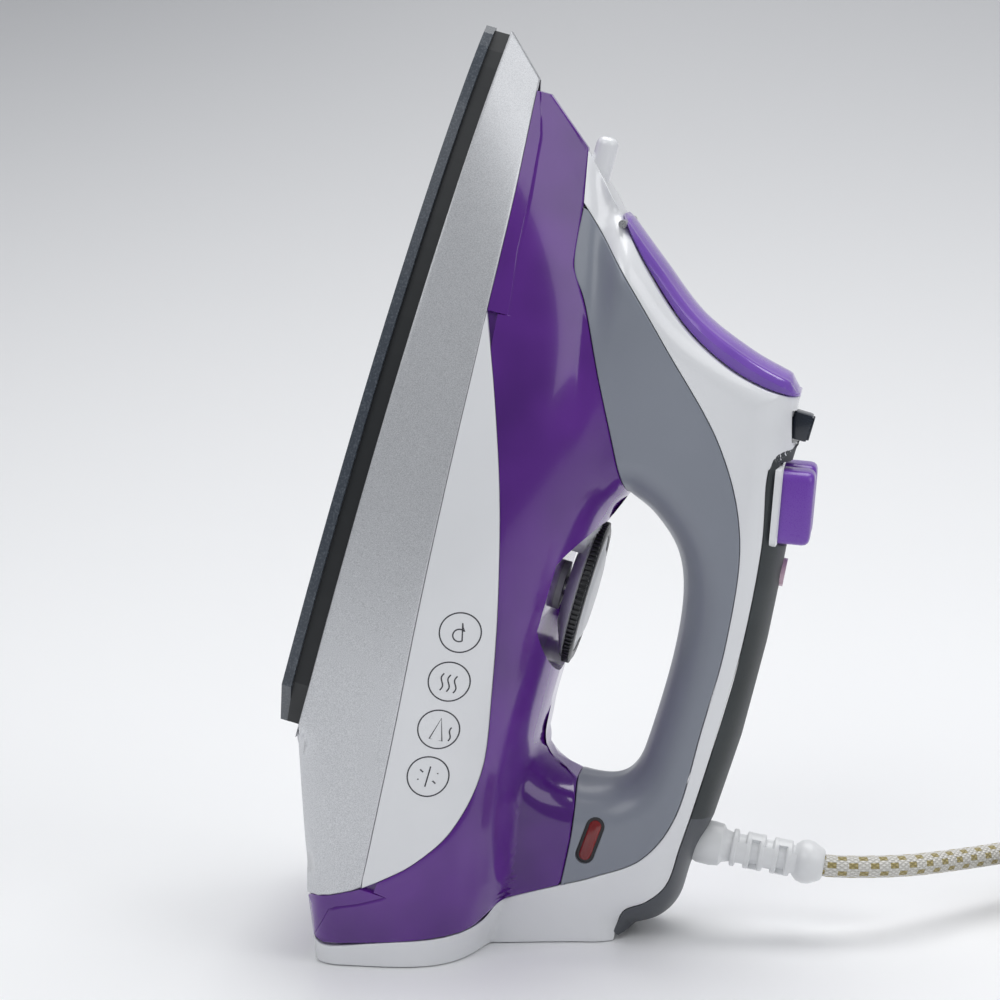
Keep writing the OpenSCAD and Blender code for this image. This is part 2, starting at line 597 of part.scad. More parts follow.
// ----------------------------------------------------------- pump buttons
button_at = at([[105.5, 133]])[0];
button_lean = 11.3;  // lean of the buttons' travel from the soleplate's upright, degrees
button_gap = 1;      // half of the gap between the two buttons
button_deep = 5;     // depth of a button below the grip's surface
button_high = 5.6;   // height of a button above it
module button_frame() {
    translate([button_at[0], 0, button_at[1]]) rotate([0, button_lean, 0]) children();
}
button_y = button_gap + button_w / 2;
module plunger_room() button_frame() for (s = [-1, 1])
    translate([0, s * button_y, -30]) cylinder(h = 60, d = spring_d + 2.4, $fn = 40);
module button_room() button_frame()
    translate([-button_l / 2 - free_gap, -button_y - button_w / 2 - free_gap,
        -button_deep - button_travel - free_gap])
        cube([button_l + 2 * free_gap, 2 * button_y + button_w + 2 * free_gap, 30]);
corner_r = 3;
function round_box(l, h, r) = [for (q = [0:3]) for (k = [0:4]) let (a = q * 90 + k * 22.5)
    [(q == 0 || q == 3 ? 1 : -1) * (l / 2 - r) + r * cos(a),
     (q < 2 ? 1 : -1) * (h / 2 - r) + r * sin(a)]];
module button(s) button_frame() translate([0, s * button_y, (button_high - button_deep) / 2])
    rotate([90, 0, 0]) linear_extrude(button_w, center = true)
        polygon(round_box(button_l, button_high + button_deep, corner_r));
module spray_button() color("#7a49c9") button(-1);
module burst_button() color("#7a49c9") button(1);
plunger_l = 14;
barrel_top = -button_deep - button_travel - 2;
barrel_l = 18;
spring_d = plunger_d + 4;
module plunger(s) button_frame() translate([0, s * button_y, -button_deep - plunger_l])
    cylinder(h = plunger_l, d = plunger_d, $fn = 40);
module spray_plunger() color("#e9e9ea") plunger(-1);
module burst_plunger() color("#e9e9ea") plunger(1);
module pump_block() color("#d4d6d8") button_frame() difference() {
    translate([-7, -button_y - 6, barrel_top - barrel_l]) cube([14, 2 * button_y + 12, barrel_l]);
    for (s = [-1, 1]) translate([0, s * button_y, barrel_top - barrel_l + 3])
        cylinder(h = barrel_l, d = plunger_d + 2 * run_gap, $fn = 40);
}
// Coil of wire standing between the pump block and the button.
module coil_spring(s) {
    wire = 0.45;
    turns = 3;
    per_turn = 8;
    rise = -button_deep - barrel_top - 2 * wire - 0.2;
    n = turns * per_turn;
    ring = [for (i = [0:n]) for (k = [0:5]) let (a = 360 * i / per_turn, b = 60 * k)
        [(spring_d / 2 + wire * cos(b)) * cos(a), (spring_d / 2 + wire * cos(b)) * sin(a),
         barrel_top + wire + 0.1 + rise * i / n + wire * sin(b)]];
    faces = concat(
        [for (i = [0:n - 1]) for (k = [0:5]) let (m = (k + 1) % 6)
            [i * 6 + k, i * 6 + m, (i + 1) * 6 + m, (i + 1) * 6 + k]],
        [[5, 4, 3, 2, 1, 0]], [[for (k = [0:5]) n * 6 + k]]);
    button_frame() translate([0, s * button_y, 0]) polyhedron(ring, faces);
}
module spray_spring() color("silver") coil_spring(-1);
module burst_spring() color("silver") coil_spring(1);

// -------------------------------------------------------------------- dial
dial_v = V(76.4);
rim_in = dial_d / 2 - 3.6;
cone_foot = 13;
module dial_rim() color("#15171a") translate([dial_u, 0, dial_v]) difference() {
    cylinder(h = dial_rim_h, d = dial_d, $fn = 96);
    translate([0, 0, -1]) cylinder(h = dial_rim_h + 2, r = rim_in, $fn = 96);
}
module dial_body() color("#dcdcde") translate([dial_u, 0, 0]) difference() {
    rotate_extrude($fn = 96) polygon([[0, dial_v - 4.2], [cone_foot, dial_v - 4.2],
        [dial_d / 2 - 0.8, dial_v - 0.6], [dial_d / 2 - 0.8, dial_v], [rim_in, dial_v],
        [rim_in, dial_v + dial_rim_h], [cone_foot, dial_v + dial_rim_h + 0.9],
        [0, dial_v + dial_rim_h + 1.2]]);
    translate([0, 0, dial_v - 5]) cylinder(h = 6, d = dial_shaft_d, $fn = 40);
}
thermo_top = cap_v + 12;
module dial_shaft() color("#b9bcc0") translate([dial_u, 0, thermo_top + 0.6])
    cylinder(h = dial_v + 1 - thermo_top - 0.6, d = dial_shaft_d, $fn = 40);
module dial_bush() color("#d9d9dd") translate([dial_u, 0, 0]) difference() {
    translate([0, 0, V(34)]) cylinder(h = dial_well_v - 0.6 - V(34), d = shaft_tube_d - seam, $fn = 40);
    translate([0, 0, V(33)]) cylinder(h = V(56) - V(33), d = shaft_tube_d - 5, $fn = 40);
    translate([0, 0, V(50)]) cylinder(h = V(40), d = dial_shaft_d + 2 * run_gap, $fn = 40);
}
pointer_l = 13;
module pointer_shape(extra = 0) translate([dial_u + dial_d / 2 + 1, 0, V(71)])
    rotate([0, -8, 0]) translate([-1, 0, -extra])
        cylinder(h = 7 + 2 * extra, d = pointer_l + 2 * extra, $fn = 40);
module dial_pointer() color("#f4f4f4") difference() {
    pointer_shape();
    translate([dial_u + dial_d / 2 + 0.4 - pointer_l, -pointer_l, V(70)])
        cube([pointer_l, 2 * pointer_l, 20]);
}

// ------------------------------------------------------------- electrical
module thermostat() color("#9a938a") translate([dial_u, 0, cap_v]) {
    translate([-17, -7, 0]) cube([34, 14, 8]);
    cylinder(h = 12, d = 10, $fn = 32);
}
module thermal_fuse() color("#c7a24a") translate([U(40), element_y / 2 - 2, cap_v + 2.1])
    rotate([0, 90, 0]) cylinder(h = 12, d = 4, $fn = 24);
module pilot_lenses() color("#b3202a") for (s = [-1, 1])
    translate([lens_at[0], s * (lens_out - lens_t / 2), lens_at[1]])
        cube([lens_l, lens_t, lens_w], center = true);
module neon_lamp() color("#ffb37a") translate([lens_at[0] - 6, 0, lens_at[1]])
    rotate([0, 90, 0]) cylinder(h = 12, d = 5, $fn = 24);
module terminal_block() color("#e6e2d4") translate([U(-30), 0, V(105.5)]) difference() {
    translate([0, -10, 0]) cube([14, 20, 8]);
    for (y = [-6.5, 0, 6.5]) translate([7, y, 3]) cylinder(h = 8, d = 4, $fn = 24);
}
wire_d = 2.4;
module wires(d) for (s = [-1, 1])
    tube(curve([[element_u0 - 10, s * element_y, heater_v], [U(-8), s * 20, V(30)],
        [U(-14), s * 10, V(50)], [U(-22), s * 8, V(80)], [U(-24), s * 7, V(105.3)]], 2), d);
module wiring() color("#d8632b") wires(wire_d);
screw_d = 3.2;
screw_head_d = 6;
screw_deep = 0.6;    // depth of the heads below the heel's face
screw_l = 6.5;
module screw_frame() for (y = [-20, 20])
    translate([table_u(V(78)), y, V(78)]) rotate([0, 90 + lean, 0]) children();
module screw_room() screw_frame() {
    translate([0, 0, -1]) cylinder(h = screw_deep + 2.5, d = screw_head_d + 2 * seam, $fn = 24);
    cylinder(h = screw_l + 1, d = screw_d + seam, $fn = 20);
}
module cover_screws() color("#9aa0a6") screw_frame() translate([0, 0, screw_deep]) difference() {
    union() {
        cylinder(h = 1.4, d = screw_head_d, $fn = 24);
        cylinder(h = screw_l - screw_deep, d = screw_d, $fn = 20);
    }
    translate([0, 0, -1]) cylinder(h = 1.7, d = 2.2, $fn = 24);
}

// Small oval badge let into the top of the grip, behind the buttons.
badge_at = at([[83, 135.4]])[0];
module badge_frame() {
    translate([badge_at[0], 0, badge_at[1]]) rotate([0, 5, 0]) children();
}
module badge_shape(extra = 0) {
    translate([0, 0, -1.4]) cylinder(h = 2.2, d = 9 + 2 * extra, $fn = 40);
}
module grip_badge() color("#e7c9d6") badge_frame() badge_shape();

// ------------------------------------------------- cord entry (row frame)
swivel_pin_d = 4;
relief_droop = 9;    // fall of the strain relief below level, degrees
swivel_at = row(U(-10), V(123));
relief_out = 14;     // from the swivel's axis to the covers' face
relief_end = relief_out + relief_l;
cord_gap = 1;
module relief_frame() {
    translate([swivel_at[0], 0, swivel_at[1]]) rotate([0, relief_droop, 0]) children();
}
module unstand() {
    rotate([180, 0, 0]) rotate([0, 90 - lean, 0]) translate([-stand_x, 0, -heel_drop]) children();
}
module relief_room() unstand() relief_frame() {
    rotate([90, 0, 0]) linear_extrude(swivel_d + 2 * (yoke_gap + yoke_t + free_gap), center = true)
        polygon([[-swivel_d / 2 - 1, -8.6], [6, -8.6], [32, -17], [32, 17], [6, 8.6],
            [-swivel_d / 2 - 1, 8.6]]);
}
module strain_relief() color("#f0f0ef") relief_frame() difference() {
    union() {
        rotate([90, 0, 0]) cylinder(h = swivel_d - 3, d = swivel_d, center = true, $fn = 48);
        rotate([90, 0, 0]) cylinder(h = swivel_d + 4, d = swivel_pin_d, center = true, $fn = 32);
        rotate([0, 90, 0]) rotate_extrude($fn = 40) polygon([[0, 0], [5.9, 2], [5.9, relief_out - 4],
            [6.8, relief_out - 2], [6.8, relief_out + 4], [5.3, relief_out + 9],
            [5, relief_out + 0.62 * relief_l], [6.9, relief_out + 0.76 * relief_l],
            [5.6, relief_end - 2], [4.4, relief_end], [0, relief_end]]);
    }
    rotate([0, 90, 0]) translate([0, 0, relief_end - 12]) cylinder(h = 14, d = cord_d + 0.2, $fn = 40);
}
yoke_t = 2.4;
yoke_gap = 0.6;
module swivel_yoke() color("#5a5e63") relief_frame() for (s = [-1, 1])
    translate([0, s * (swivel_d / 2 + yoke_gap), 0]) difference() {
        translate([-5, s > 0 ? 0 : -yoke_t, -5]) cube([10, yoke_t, 10]);
        rotate([90, 0, 0]) cylinder(h = 9, d = swivel_pin_d + 2 * run_gap, center = true, $fn = 32);
    }
module cord_clamp() color("#3b3f44") translate([U(-6), 0, V(105)]) difference() {
    translate([-4, -12, 0]) cube([8, 24, 6]);
    for (y = [-9, 9]) translate([0, y, -1]) cylinder(h = 8, d = 2.8, $fn = 24);
}

// ------------------------------------------------------- cord (row frame)
// Stiff braided lead: leaves the strain relief level, comes down to the
// table, is wound into a coil for storage, and ends in its plug.
cord_start = [swivel_at[0] + (relief_end + cord_gap) * cos(relief_droop), 0,
    swivel_at[1] - (relief_end + cord_gap) * sin(relief_droop)];
lead_route = [[99, 3, 22.4], [113, 11, 21.2], [127, 24, 19.6], [142, 38.5, 18.2], [154, 49, 18]];
tail_route = [[245.9, 37.2, 4.5], [250.5, 27.3, 5.1]];
coil_at = [200, 28];
coil_lift = 1.3;    // thickness of the tie under the coil
coil_in = 130;      // where the lead joins the top of the coil, degrees
coil_out = 25;      // where the tail leaves it
turn_out = (coil_d + cord_d) / 2;
function on_coil(a, z) = [coil_at[0] + turn_out * cos(a), coil_at[1] + turn_out * sin(a), z];
low_turn = coil_lift + cord_d / 2;
high_turn = low_turn + 2 * cord_d;
plug_at = [254.8, 18.2, 6.3];
plug_turn = -65;
plug_rise = 15.5;
lead_points = curve(concat([cord_start], lead_route, [on_coil(coil_in, high_turn)]), 2);
tail_points = curve(concat([on_coil(coil_out, low_turn)], tail_route, [plug_at]), 2);
// Tube of 8 sides along a route.
module tube(p, d) {
    n = len(p) - 1;
    function dir(i) = unit(p[min(i + 1, n)] - p[max(i - 1, 0)]);
    pts = [for (i = [0:n]) let (t = dir(i), s = unit(cross(t, [0, 0, 1])), w = cross(s, t))
        for (k = [0:7]) p[i] + d / 2 * (cos(45 * k) * s + sin(45 * k) * w)];
    faces = concat(
        [for (i = [0:n - 1]) for (k = [0:7]) let (m = (k + 1) % 8) for (h = [0, 1]) h == 0
            ? [i * 8 + k, i * 8 + m, (i + 1) * 8 + m]
            : [i * 8 + k, (i + 1) * 8 + m, (i + 1) * 8 + k]],
        [[7, 6, 5, 4, 3, 2, 1, 0]], [[for (k = [0:7]) n * 8 + k]]);
    polyhedron(pts, faces);
}
module mains_cord() color("#e9e6dc") tube(lead_points, cord_d);
module cord_tail() color("#e9e6dc") tube(tail_points, cord_d);
module cord_coil() color("#e9e6dc") translate([coil_at[0], coil_at[1], coil_lift])
    rotate_extrude($fn = 64) translate([coil_d / 2 - cord_d, 0]) square([2 * cord_d, 3 * cord_d]);
tie_w = 8;
tie_at = 265;
module coil_tie() color("#2b2e31") translate([coil_at[0], coil_at[1], 0]) rotate([0, 0, tie_at])
    translate([coil_d / 2, 0, 0]) difference() {
        translate([-cord_d - 1.6, -tie_w / 2, 0])
            cube([2 * cord_d + 3.2, tie_w, 3 * cord_d + coil_lift + 1.2]);
        translate([-cord_d - 0.4, -tie_w, coil_lift - 0.1])
            cube([2 * cord_d + 0.8, 2 * tie_w, 3 * cord_d + 0.2]);
    }
module plug_frame() {
    translate(plug_at) rotate([0, 0, plug_turn]) rotate([0, -plug_rise, 0]) rotate([0, 90, 0])
        children();
}
plug_l = 52;
pin_root = 8;       // length of a pin inside the plug
pin_root_d = 3.4;
module plug() color("#e9e9e7") plug_frame() difference() {
    rotate_extrude($fn = 64) polygon([[0, 0.3], [4.4, 0.3], [5.4, 16], [9, 20], [12, 32],
        [17.6, 40], [18.3, 44], [18.3, plug_l - 1], [17.6, plug_l], [0, plug_l]]);
    for (s = [-1, 1]) translate([s * plug_pin_gap / 2, 0, plug_l - pin_root])
        cylinder(h = pin_root + 1, d = pin_root_d, $fn = 32);
}
pin_point = 1;      // length of a pin's rounded tip
module plug_pins() color("#c9b458") plug_frame() for (s = [-1, 1])
    translate([s * plug_pin_gap / 2, 0, plug_l]) {
        translate([0, 0, -pin_root]) cylinder(h = pin_root + 1, d = pin_root_d, $fn = 32);
        cylinder(h = plug_pin_l - pin_point, d = plug_pin_d, $fn = 32);
        translate([0, 0, plug_pin_l - pin_point])
            cylinder(h = pin_point, d1 = plug_pin_d, d2 = plug_pin_d - 1.6, $fn = 32);
    }

stand() soleplate();
stand() heater_base();
stand() heating_element();
stand() steam_chamber_cover();
stand() valve_grommet();
stand() heat_shield();
stand() skirt();
stand() side_panel_left();
stand() side_panel_right();
stand() water_tank();
stand() tank_floor();
stand() handle_frame();
stand() handle_cover();
stand() soft_grip();
stand() heel_cover();
stand() rear_cover();
stand() spray_nozzle();
stand() spray_hose();
stand() fill_inlet();
stand() fill_lid();
stand() lid_hinge_pin();
stand() lid_seal();
stand() lever_bracket();
stand() steam_lever();
stand() valve_rod();
stand() valve_seat();
stand() pump_block();
stand() spray_button();
stand() burst_button();
stand() spray_plunger();
stand() burst_plunger();
stand() spray_spring();
stand() burst_spring();
stand() dial_rim();
stand() dial_body();
stand() dial_shaft();
stand() dial_bush();
stand() dial_pointer();
stand() thermostat();
stand() thermal_fuse();
stand() pilot_lenses();
stand() neon_lamp();
swivel_yoke();
strain_relief();
stand() cord_clamp();
stand() terminal_block();
stand() wiring();
stand() cover_screws();
stand() grip_badge();
mains_cord();
cord_coil();
cord_tail();
coil_tie();
plug();
plug_pins();
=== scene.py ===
import json
import math
import bmesh
import bpy
import numpy as np
from mathutils import Matrix, Vector


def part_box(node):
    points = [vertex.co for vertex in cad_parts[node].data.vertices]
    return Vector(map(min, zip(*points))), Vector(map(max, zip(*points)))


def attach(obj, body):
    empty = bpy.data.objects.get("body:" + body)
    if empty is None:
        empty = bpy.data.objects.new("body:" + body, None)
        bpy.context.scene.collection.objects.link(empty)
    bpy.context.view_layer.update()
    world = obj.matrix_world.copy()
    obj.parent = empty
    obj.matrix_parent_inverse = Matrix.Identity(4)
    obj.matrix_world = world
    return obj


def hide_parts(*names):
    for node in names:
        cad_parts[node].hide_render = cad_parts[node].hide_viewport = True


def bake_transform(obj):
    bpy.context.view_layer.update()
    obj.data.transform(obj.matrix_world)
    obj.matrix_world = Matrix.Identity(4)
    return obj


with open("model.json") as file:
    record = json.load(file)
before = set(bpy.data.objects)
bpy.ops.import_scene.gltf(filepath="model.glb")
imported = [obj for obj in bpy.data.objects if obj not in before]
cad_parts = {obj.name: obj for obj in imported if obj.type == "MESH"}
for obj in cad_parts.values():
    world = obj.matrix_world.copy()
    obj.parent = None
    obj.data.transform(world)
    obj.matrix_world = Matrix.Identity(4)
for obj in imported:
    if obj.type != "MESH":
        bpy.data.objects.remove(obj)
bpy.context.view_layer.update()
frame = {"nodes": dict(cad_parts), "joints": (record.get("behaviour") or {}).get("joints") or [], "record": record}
cad = frame["nodes"]

# ------------------------------------------------------------------ camera
# The iron stands on its heel and is seen square to its side, from a little
# above the table and a little behind its handle.
AIM = Vector((-0.01876, 0.0, 0.1383))
DISTANCE = 0.8
ELEVATION = math.radians(9.0)
YAW = math.radians(-9.0)
look = Vector((math.sin(YAW) * math.cos(ELEVATION), math.cos(YAW) * math.cos(ELEVATION),
               -math.sin(ELEVATION)))
camera_data = bpy.data.cameras.new("camera")
camera_data.sensor_width = 36.0
camera_data.lens = 90.7
camera = bpy.data.objects.new("camera", camera_data)
camera.location = AIM - DISTANCE * look
camera.rotation_euler = look.to_track_quat("-Z", "Y").to_euler()
bpy.context.scene.collection.objects.link(camera)
bpy.context.scene.camera = camera
bpy.context.scene.view_settings.view_transform = "Standard"


# ---------------------------------------------------------- room and lights
# A pale table, a pale wall far behind it, three large soft lights and a dim
# room light.
def plain_object(name, mesh):
    """New object in the scene, with its origin at the world's."""
    obj = bpy.data.objects.new(name, mesh)
    bpy.context.scene.collection.objects.link(obj)
    return obj


def new_material(name):
    """New material with its nodes, links and shader."""
    mat = bpy.data.materials.new(name)
    mat.use_nodes = True
    return mat, mat.node_tree.nodes, mat.node_tree.links, mat.node_tree.nodes["Principled BSDF"]


def backdrop():
    """Table that bends up into a wall, painted greyer with height as painted shade where less light reaches the
    wall.
    """
    width, front, back, bend, top, sink = 2.6, -1.3, 1.5, 0.9, 2.4, 0.0002
    side = [(front, 0.0), (back - bend, 0.0)]
    side += [(back - bend + bend * math.sin(a), bend - bend * math.cos(a))
             for a in np.radians(np.arange(6, 91, 6))]
    side.append((back, top))
    mesh = bpy.data.meshes.new("table_and_wall")
    points = [(x, y, z - sink) for y, z in side for x in (-width, width)]
    mesh.from_pydata(points, [], [(2 * i, 2 * i + 1, 2 * i + 3, 2 * i + 2)
                                  for i in range(len(side) - 1)])
    for face in mesh.polygons:
        face.use_smooth = True
    mat, nodes, links, shader = new_material("pale_table")
    place = nodes.new("ShaderNodeTexCoord")
    split = nodes.new("ShaderNodeSeparateXYZ")
    links.new(place.outputs["Object"], split.inputs["Vector"])
    # Colour goes from near white on the table to mid grey up the wall: painted shade, not the wall's own colour.
    height_shade = nodes.new("ShaderNodeMapRange")
    height_shade.inputs["From Max"].default_value = 0.38
    links.new(split.outputs["Z"], height_shade.inputs["Value"])
    blend = nodes.new("ShaderNodeMix")
    blend.data_type = "RGBA"
    blend.inputs[6].default_value = (0.90, 0.905, 0.915, 1)
    blend.inputs[7].default_value = (0.43, 0.435, 0.45, 1)
    links.new(height_shade.outputs["Result"], blend.inputs["Factor"])
    links.new(blend.outputs[2], shader.inputs["Base Color"])
    shader.inputs["Roughness"].default_value = 0.4
    mesh.materials.append(mat)
    return plain_object("table_and_wall", mesh)


def soft_light(name, place, target, size, watts):
    """Rectangular lamp aimed at a target."""
    data = bpy.data.lights.new(name, "AREA")
    data.shape = "RECTANGLE"
    data.size, data.size_y = size
    data.energy = watts
    obj = bpy.data.objects.new(name, data)
    obj.location = place
    way = Vector(target) - Vector(place)
    obj.rotation_euler = way.to_track_quat("-Z", "Y").to_euler()
    bpy.context.scene.collection.objects.link(obj)


backdrop()
soft_light("key_light", (-0.55, -1.1, 1.35), (0, 0, 0.12), (1.1, 0.8), 7)
soft_light("fill_light", (1.25, -0.6, 0.9), (0, 0, 0.12), (0.8, 1.0), 4)
soft_light("top_light", (0.1, 0.4, 1.7), (0, 0, 0.1), (1.6, 1.2), 24)
room = bpy.data.worlds.new("room")
room.use_nodes = True
room.node_tree.nodes["Background"].inputs["Color"].default_value = (0.86, 0.89, 0.94, 1)
room.node_tree.nodes["Background"].inputs["Strength"].default_value = 0.3
bpy.context.scene.world = room

# ------------------------------------------------------------- mains lead
# A 7 mm lead in a woven cover of white and ochre yarn, 1.8 m long.  It comes
# out of the strain relief, lies on the table, and is wound in a neat coil.
CORD_D = 0.007
COIL_D = 0.084
COIL_AT = (0.200, 0.028)
COIL_LIFT = 0.0013
COIL_IN = 130.0
COIL_OUT = 25.0
LEAD_ROUTE = [(99, 3, 22.4), (113, 11, 21.2), (127, 24, 19.6), (142, 38.5, 18.2), (154, 49, 18)]
TAIL_ROUTE = [(245.9, 37.2, 4.5), (250.5, 27.3, 5.1)]
PLUG_AT = (254.8, 18.2, 6.3)


def smooth_path(points, pieces):
    """Catmull-Rom curve through the points, with the same number of pieces in each span."""
    points = np.asarray(points, float)
    out = []
    for i in range(len(points) - 1):
        a, b, c, d = (points[max(i - 1, 0)], points[i], points[i + 1],
                      points[min(i + 2, len(points) - 1)])
        for k in range(pieces):
            t = k / pieces
            out.append(0.5 * (2 * b + (c - a) * t + (2 * a - 5 * b + 4 * c - d) * t * t
                              + (3 * b - a - 3 * c + d) * t ** 3))
    out.append(points[-1])
    return np.array(out)


def ease(x):
    """Share that starts and ends gently."""
    x = min(1.0, max(0.0, x))
    return x * x * (3 - 2 * x)


def coil_path():
    """Turns of the coil: top, middle and bottom layers of an outer and an inner ring."""
    low = COIL_LIFT + CORD_D / 2
    rings = [(1, 2), (-1, 2), (1, 1), (-1, 1), (-1, 0), (1, 0)]
    whole = COIL_IN - COIL_OUT + 6 * 360
    share = whole / len(rings)
    move = 90.0
    out = []
    for turned in np.arange(0, whole + 1, 12.0):
        side, layer = rings[0]
        for i in range(1, len(rings)):
            t = ease((turned - i * share + move / 2) / move)
            side += (rings[i][0] - rings[i - 1][0]) * t
            layer += (rings[i][1] - rings[i - 1][1]) * t
        a = math.radians(COIL_IN - turned)
        r = (COIL_D + side * CORD_D) / 2
        out.append((COIL_AT[0] + r * math.cos(a), COIL_AT[1] + r * math.sin(a),
                    low + layer * CORD_D))
    return out


DROOP = math.radians(9.0)
SWIVEL_R = 0.0075
RELIEF_END = 0.052
swivel = next(j for j in frame["joints"] if j["name"] == "cord_swivel")
swivel_at = Vector(swivel["pos_m"])
relief_way = Vector((math.cos(DROOP), 0, -math.sin(DROOP)))
cord_exit = swivel_at + relief_way * RELIEF_END
lead = [tuple(cord_exit - relief_way * 0.009), tuple(cord_exit + relief_way * 0.001)]
lead += [tuple(c / 1000 for c in p) for p in LEAD_ROUTE]
tail = [tuple(c / 1000 for c in p) for p in TAIL_ROUTE + [PLUG_AT]]
cord_path = smooth_path(lead + coil_path() + tail, 4)


def tube_mesh(name, path, radius, sides=18):
    """Tube along a path, with a UV map of turns round it and metres along it."""
    path = np.asarray(path)
    ways = np.gradient(path, axis=0)
    ways /= np.linalg.norm(ways, axis=1)[:, None]
    up = np.cross(np.cross(ways[0], (0, 0, 1.0)), ways[0])
    verts, along = [], np.concatenate([[0], np.cumsum(np.linalg.norm(np.diff(path, axis=0), axis=1))])
    for p, w in zip(path, ways):
        up = up - w * np.dot(up, w)
        up /= np.linalg.norm(up)
        side = np.cross(w, up)
        for k in range(sides):
            a = 2 * math.pi * k / sides
            verts.append(p + radius * (math.cos(a) * up + math.sin(a) * side))
    faces, uvs = [], []
    for i in range(len(path) - 1):
        for k in range(sides):
            m = (k + 1) % sides
            faces.append((i * sides + k, i * sides + m, (i + 1) * sides + m, (i + 1) * sides + k))
            uvs += [(k / sides, along[i]), ((k + 1) / sides, along[i]),
                    ((k + 1) / sides, along[i + 1]), (k / sides, along[i + 1])]
    last = (len(path) - 1) * sides
    for cap, at in ((tuple(range(sides)), 0), (tuple(last + k for k in range(sides - 1, -1, -1)), -1)):
        faces.append(cap)
        uvs += [(k / sides, along[at]) for k in range(sides)]
    mesh = bpy.data.meshes.new(name)
    mesh.from_pydata([tuple(v) for v in verts], [], faces)
    layer = mesh.uv_layers.new(name="along_cord")
    layer.data.foreach_set("uv", [c for uv in uvs for c in uv])
    outwards(mesh)
    for face in mesh.polygons:
        face.use_smooth = len(face.vertices) == 4
    return mesh


def outwards(mesh, weld=0.0, fill=False):
    """Turns the faces outwards, after points closer than weld are joined and holes are filled."""
    bm = bmesh.new()
    bm.from_mesh(mesh)
    if weld:
        bmesh.ops.remove_doubles(bm, verts=bm.verts, dist=weld)
    if fill:
        bmesh.ops.holes_fill(bm, edges=bm.edges, sides=0)
    bmesh.ops.recalc_face_normals(bm, faces=bm.faces)
    bm.to_mesh(mesh)
    bm.free()


def ring_faces(count, sides, shut=False):
    """Quads between closed rings of points; shut joins the last ring to the first."""
    return [(i * sides + k, i * sides + (k + 1) % sides, (i + 1) % count * sides + (k + 1) % sides,
             (i + 1) % count * sides + k) for i in range(count if shut else count - 1)
            for k in range(sides)]


def end_faces(count, sides):
    """One face over the first ring of points and one over the last."""
    return [tuple(range(sides - 1, -1, -1)), tuple((count - 1) * sides + k for k in range(sides))]


def shade(mesh, angle=32):
    """Smooth faces, with an edge kept sharp where they meet at more than the angle in degrees."""
    for face in mesh.polygons:
        face.use_smooth = True
    mesh.set_sharp_from_angle(angle=math.radians(angle))


def solid_mesh(name, verts, faces, smooth_under=None, weld=0.0, fill=False):
    """Mesh from points and faces, turned outwards and, with an angle, shaded smooth."""
    mesh = bpy.data.meshes.new(name)
    mesh.from_pydata(verts, [], faces)
    outwards(mesh, weld, fill)
    if smooth_under:
        shade(mesh, smooth_under)
    return mesh


def chain(nodes, links, first, *steps):
    """Math nodes one after another: each step is (operation, value or socket)."""
    socket = first
    for operation, value in steps:
        node = nodes.new("ShaderNodeMath")
        node.operation = operation
        links.new(socket, node.inputs[0])
        if value is not None:
            if isinstance(value, (int, float)):
                node.inputs[1].default_value = value
            else:
                links.new(value, node.inputs[1])
        socket = node.outputs[0]
    return socket


def mixed(nodes, links, share, low, high):
    """Colour between two colours by a share socket."""
    node = nodes.new("ShaderNodeMix")
    node.data_type = "RGBA"
    links.new(share, node.inputs["Factor"])
    for key, value in (("A", low), ("B", high)):
        socket = [s for s in node.inputs if s.name == key and s.type == "RGBA"][0]
        if isinstance(value, tuple):
            socket.default_value = (*value[:3], 1)
        else:
            links.new(value, socket)
    return [s for s in node.outputs if s.type == "RGBA"][0]


def raised(nodes, links, shader, height, distance, strength=1.0):
    """Fine relief on a shader from a height socket; distance is in metres."""
    bump = nodes.new("ShaderNodeBump")
    bump.inputs["Strength"].default_value = strength
    bump.inputs["Distance"].default_value = distance
    links.new(height, bump.inputs["Height"])
    links.new(bump.outputs["Normal"], shader.inputs["Normal"])


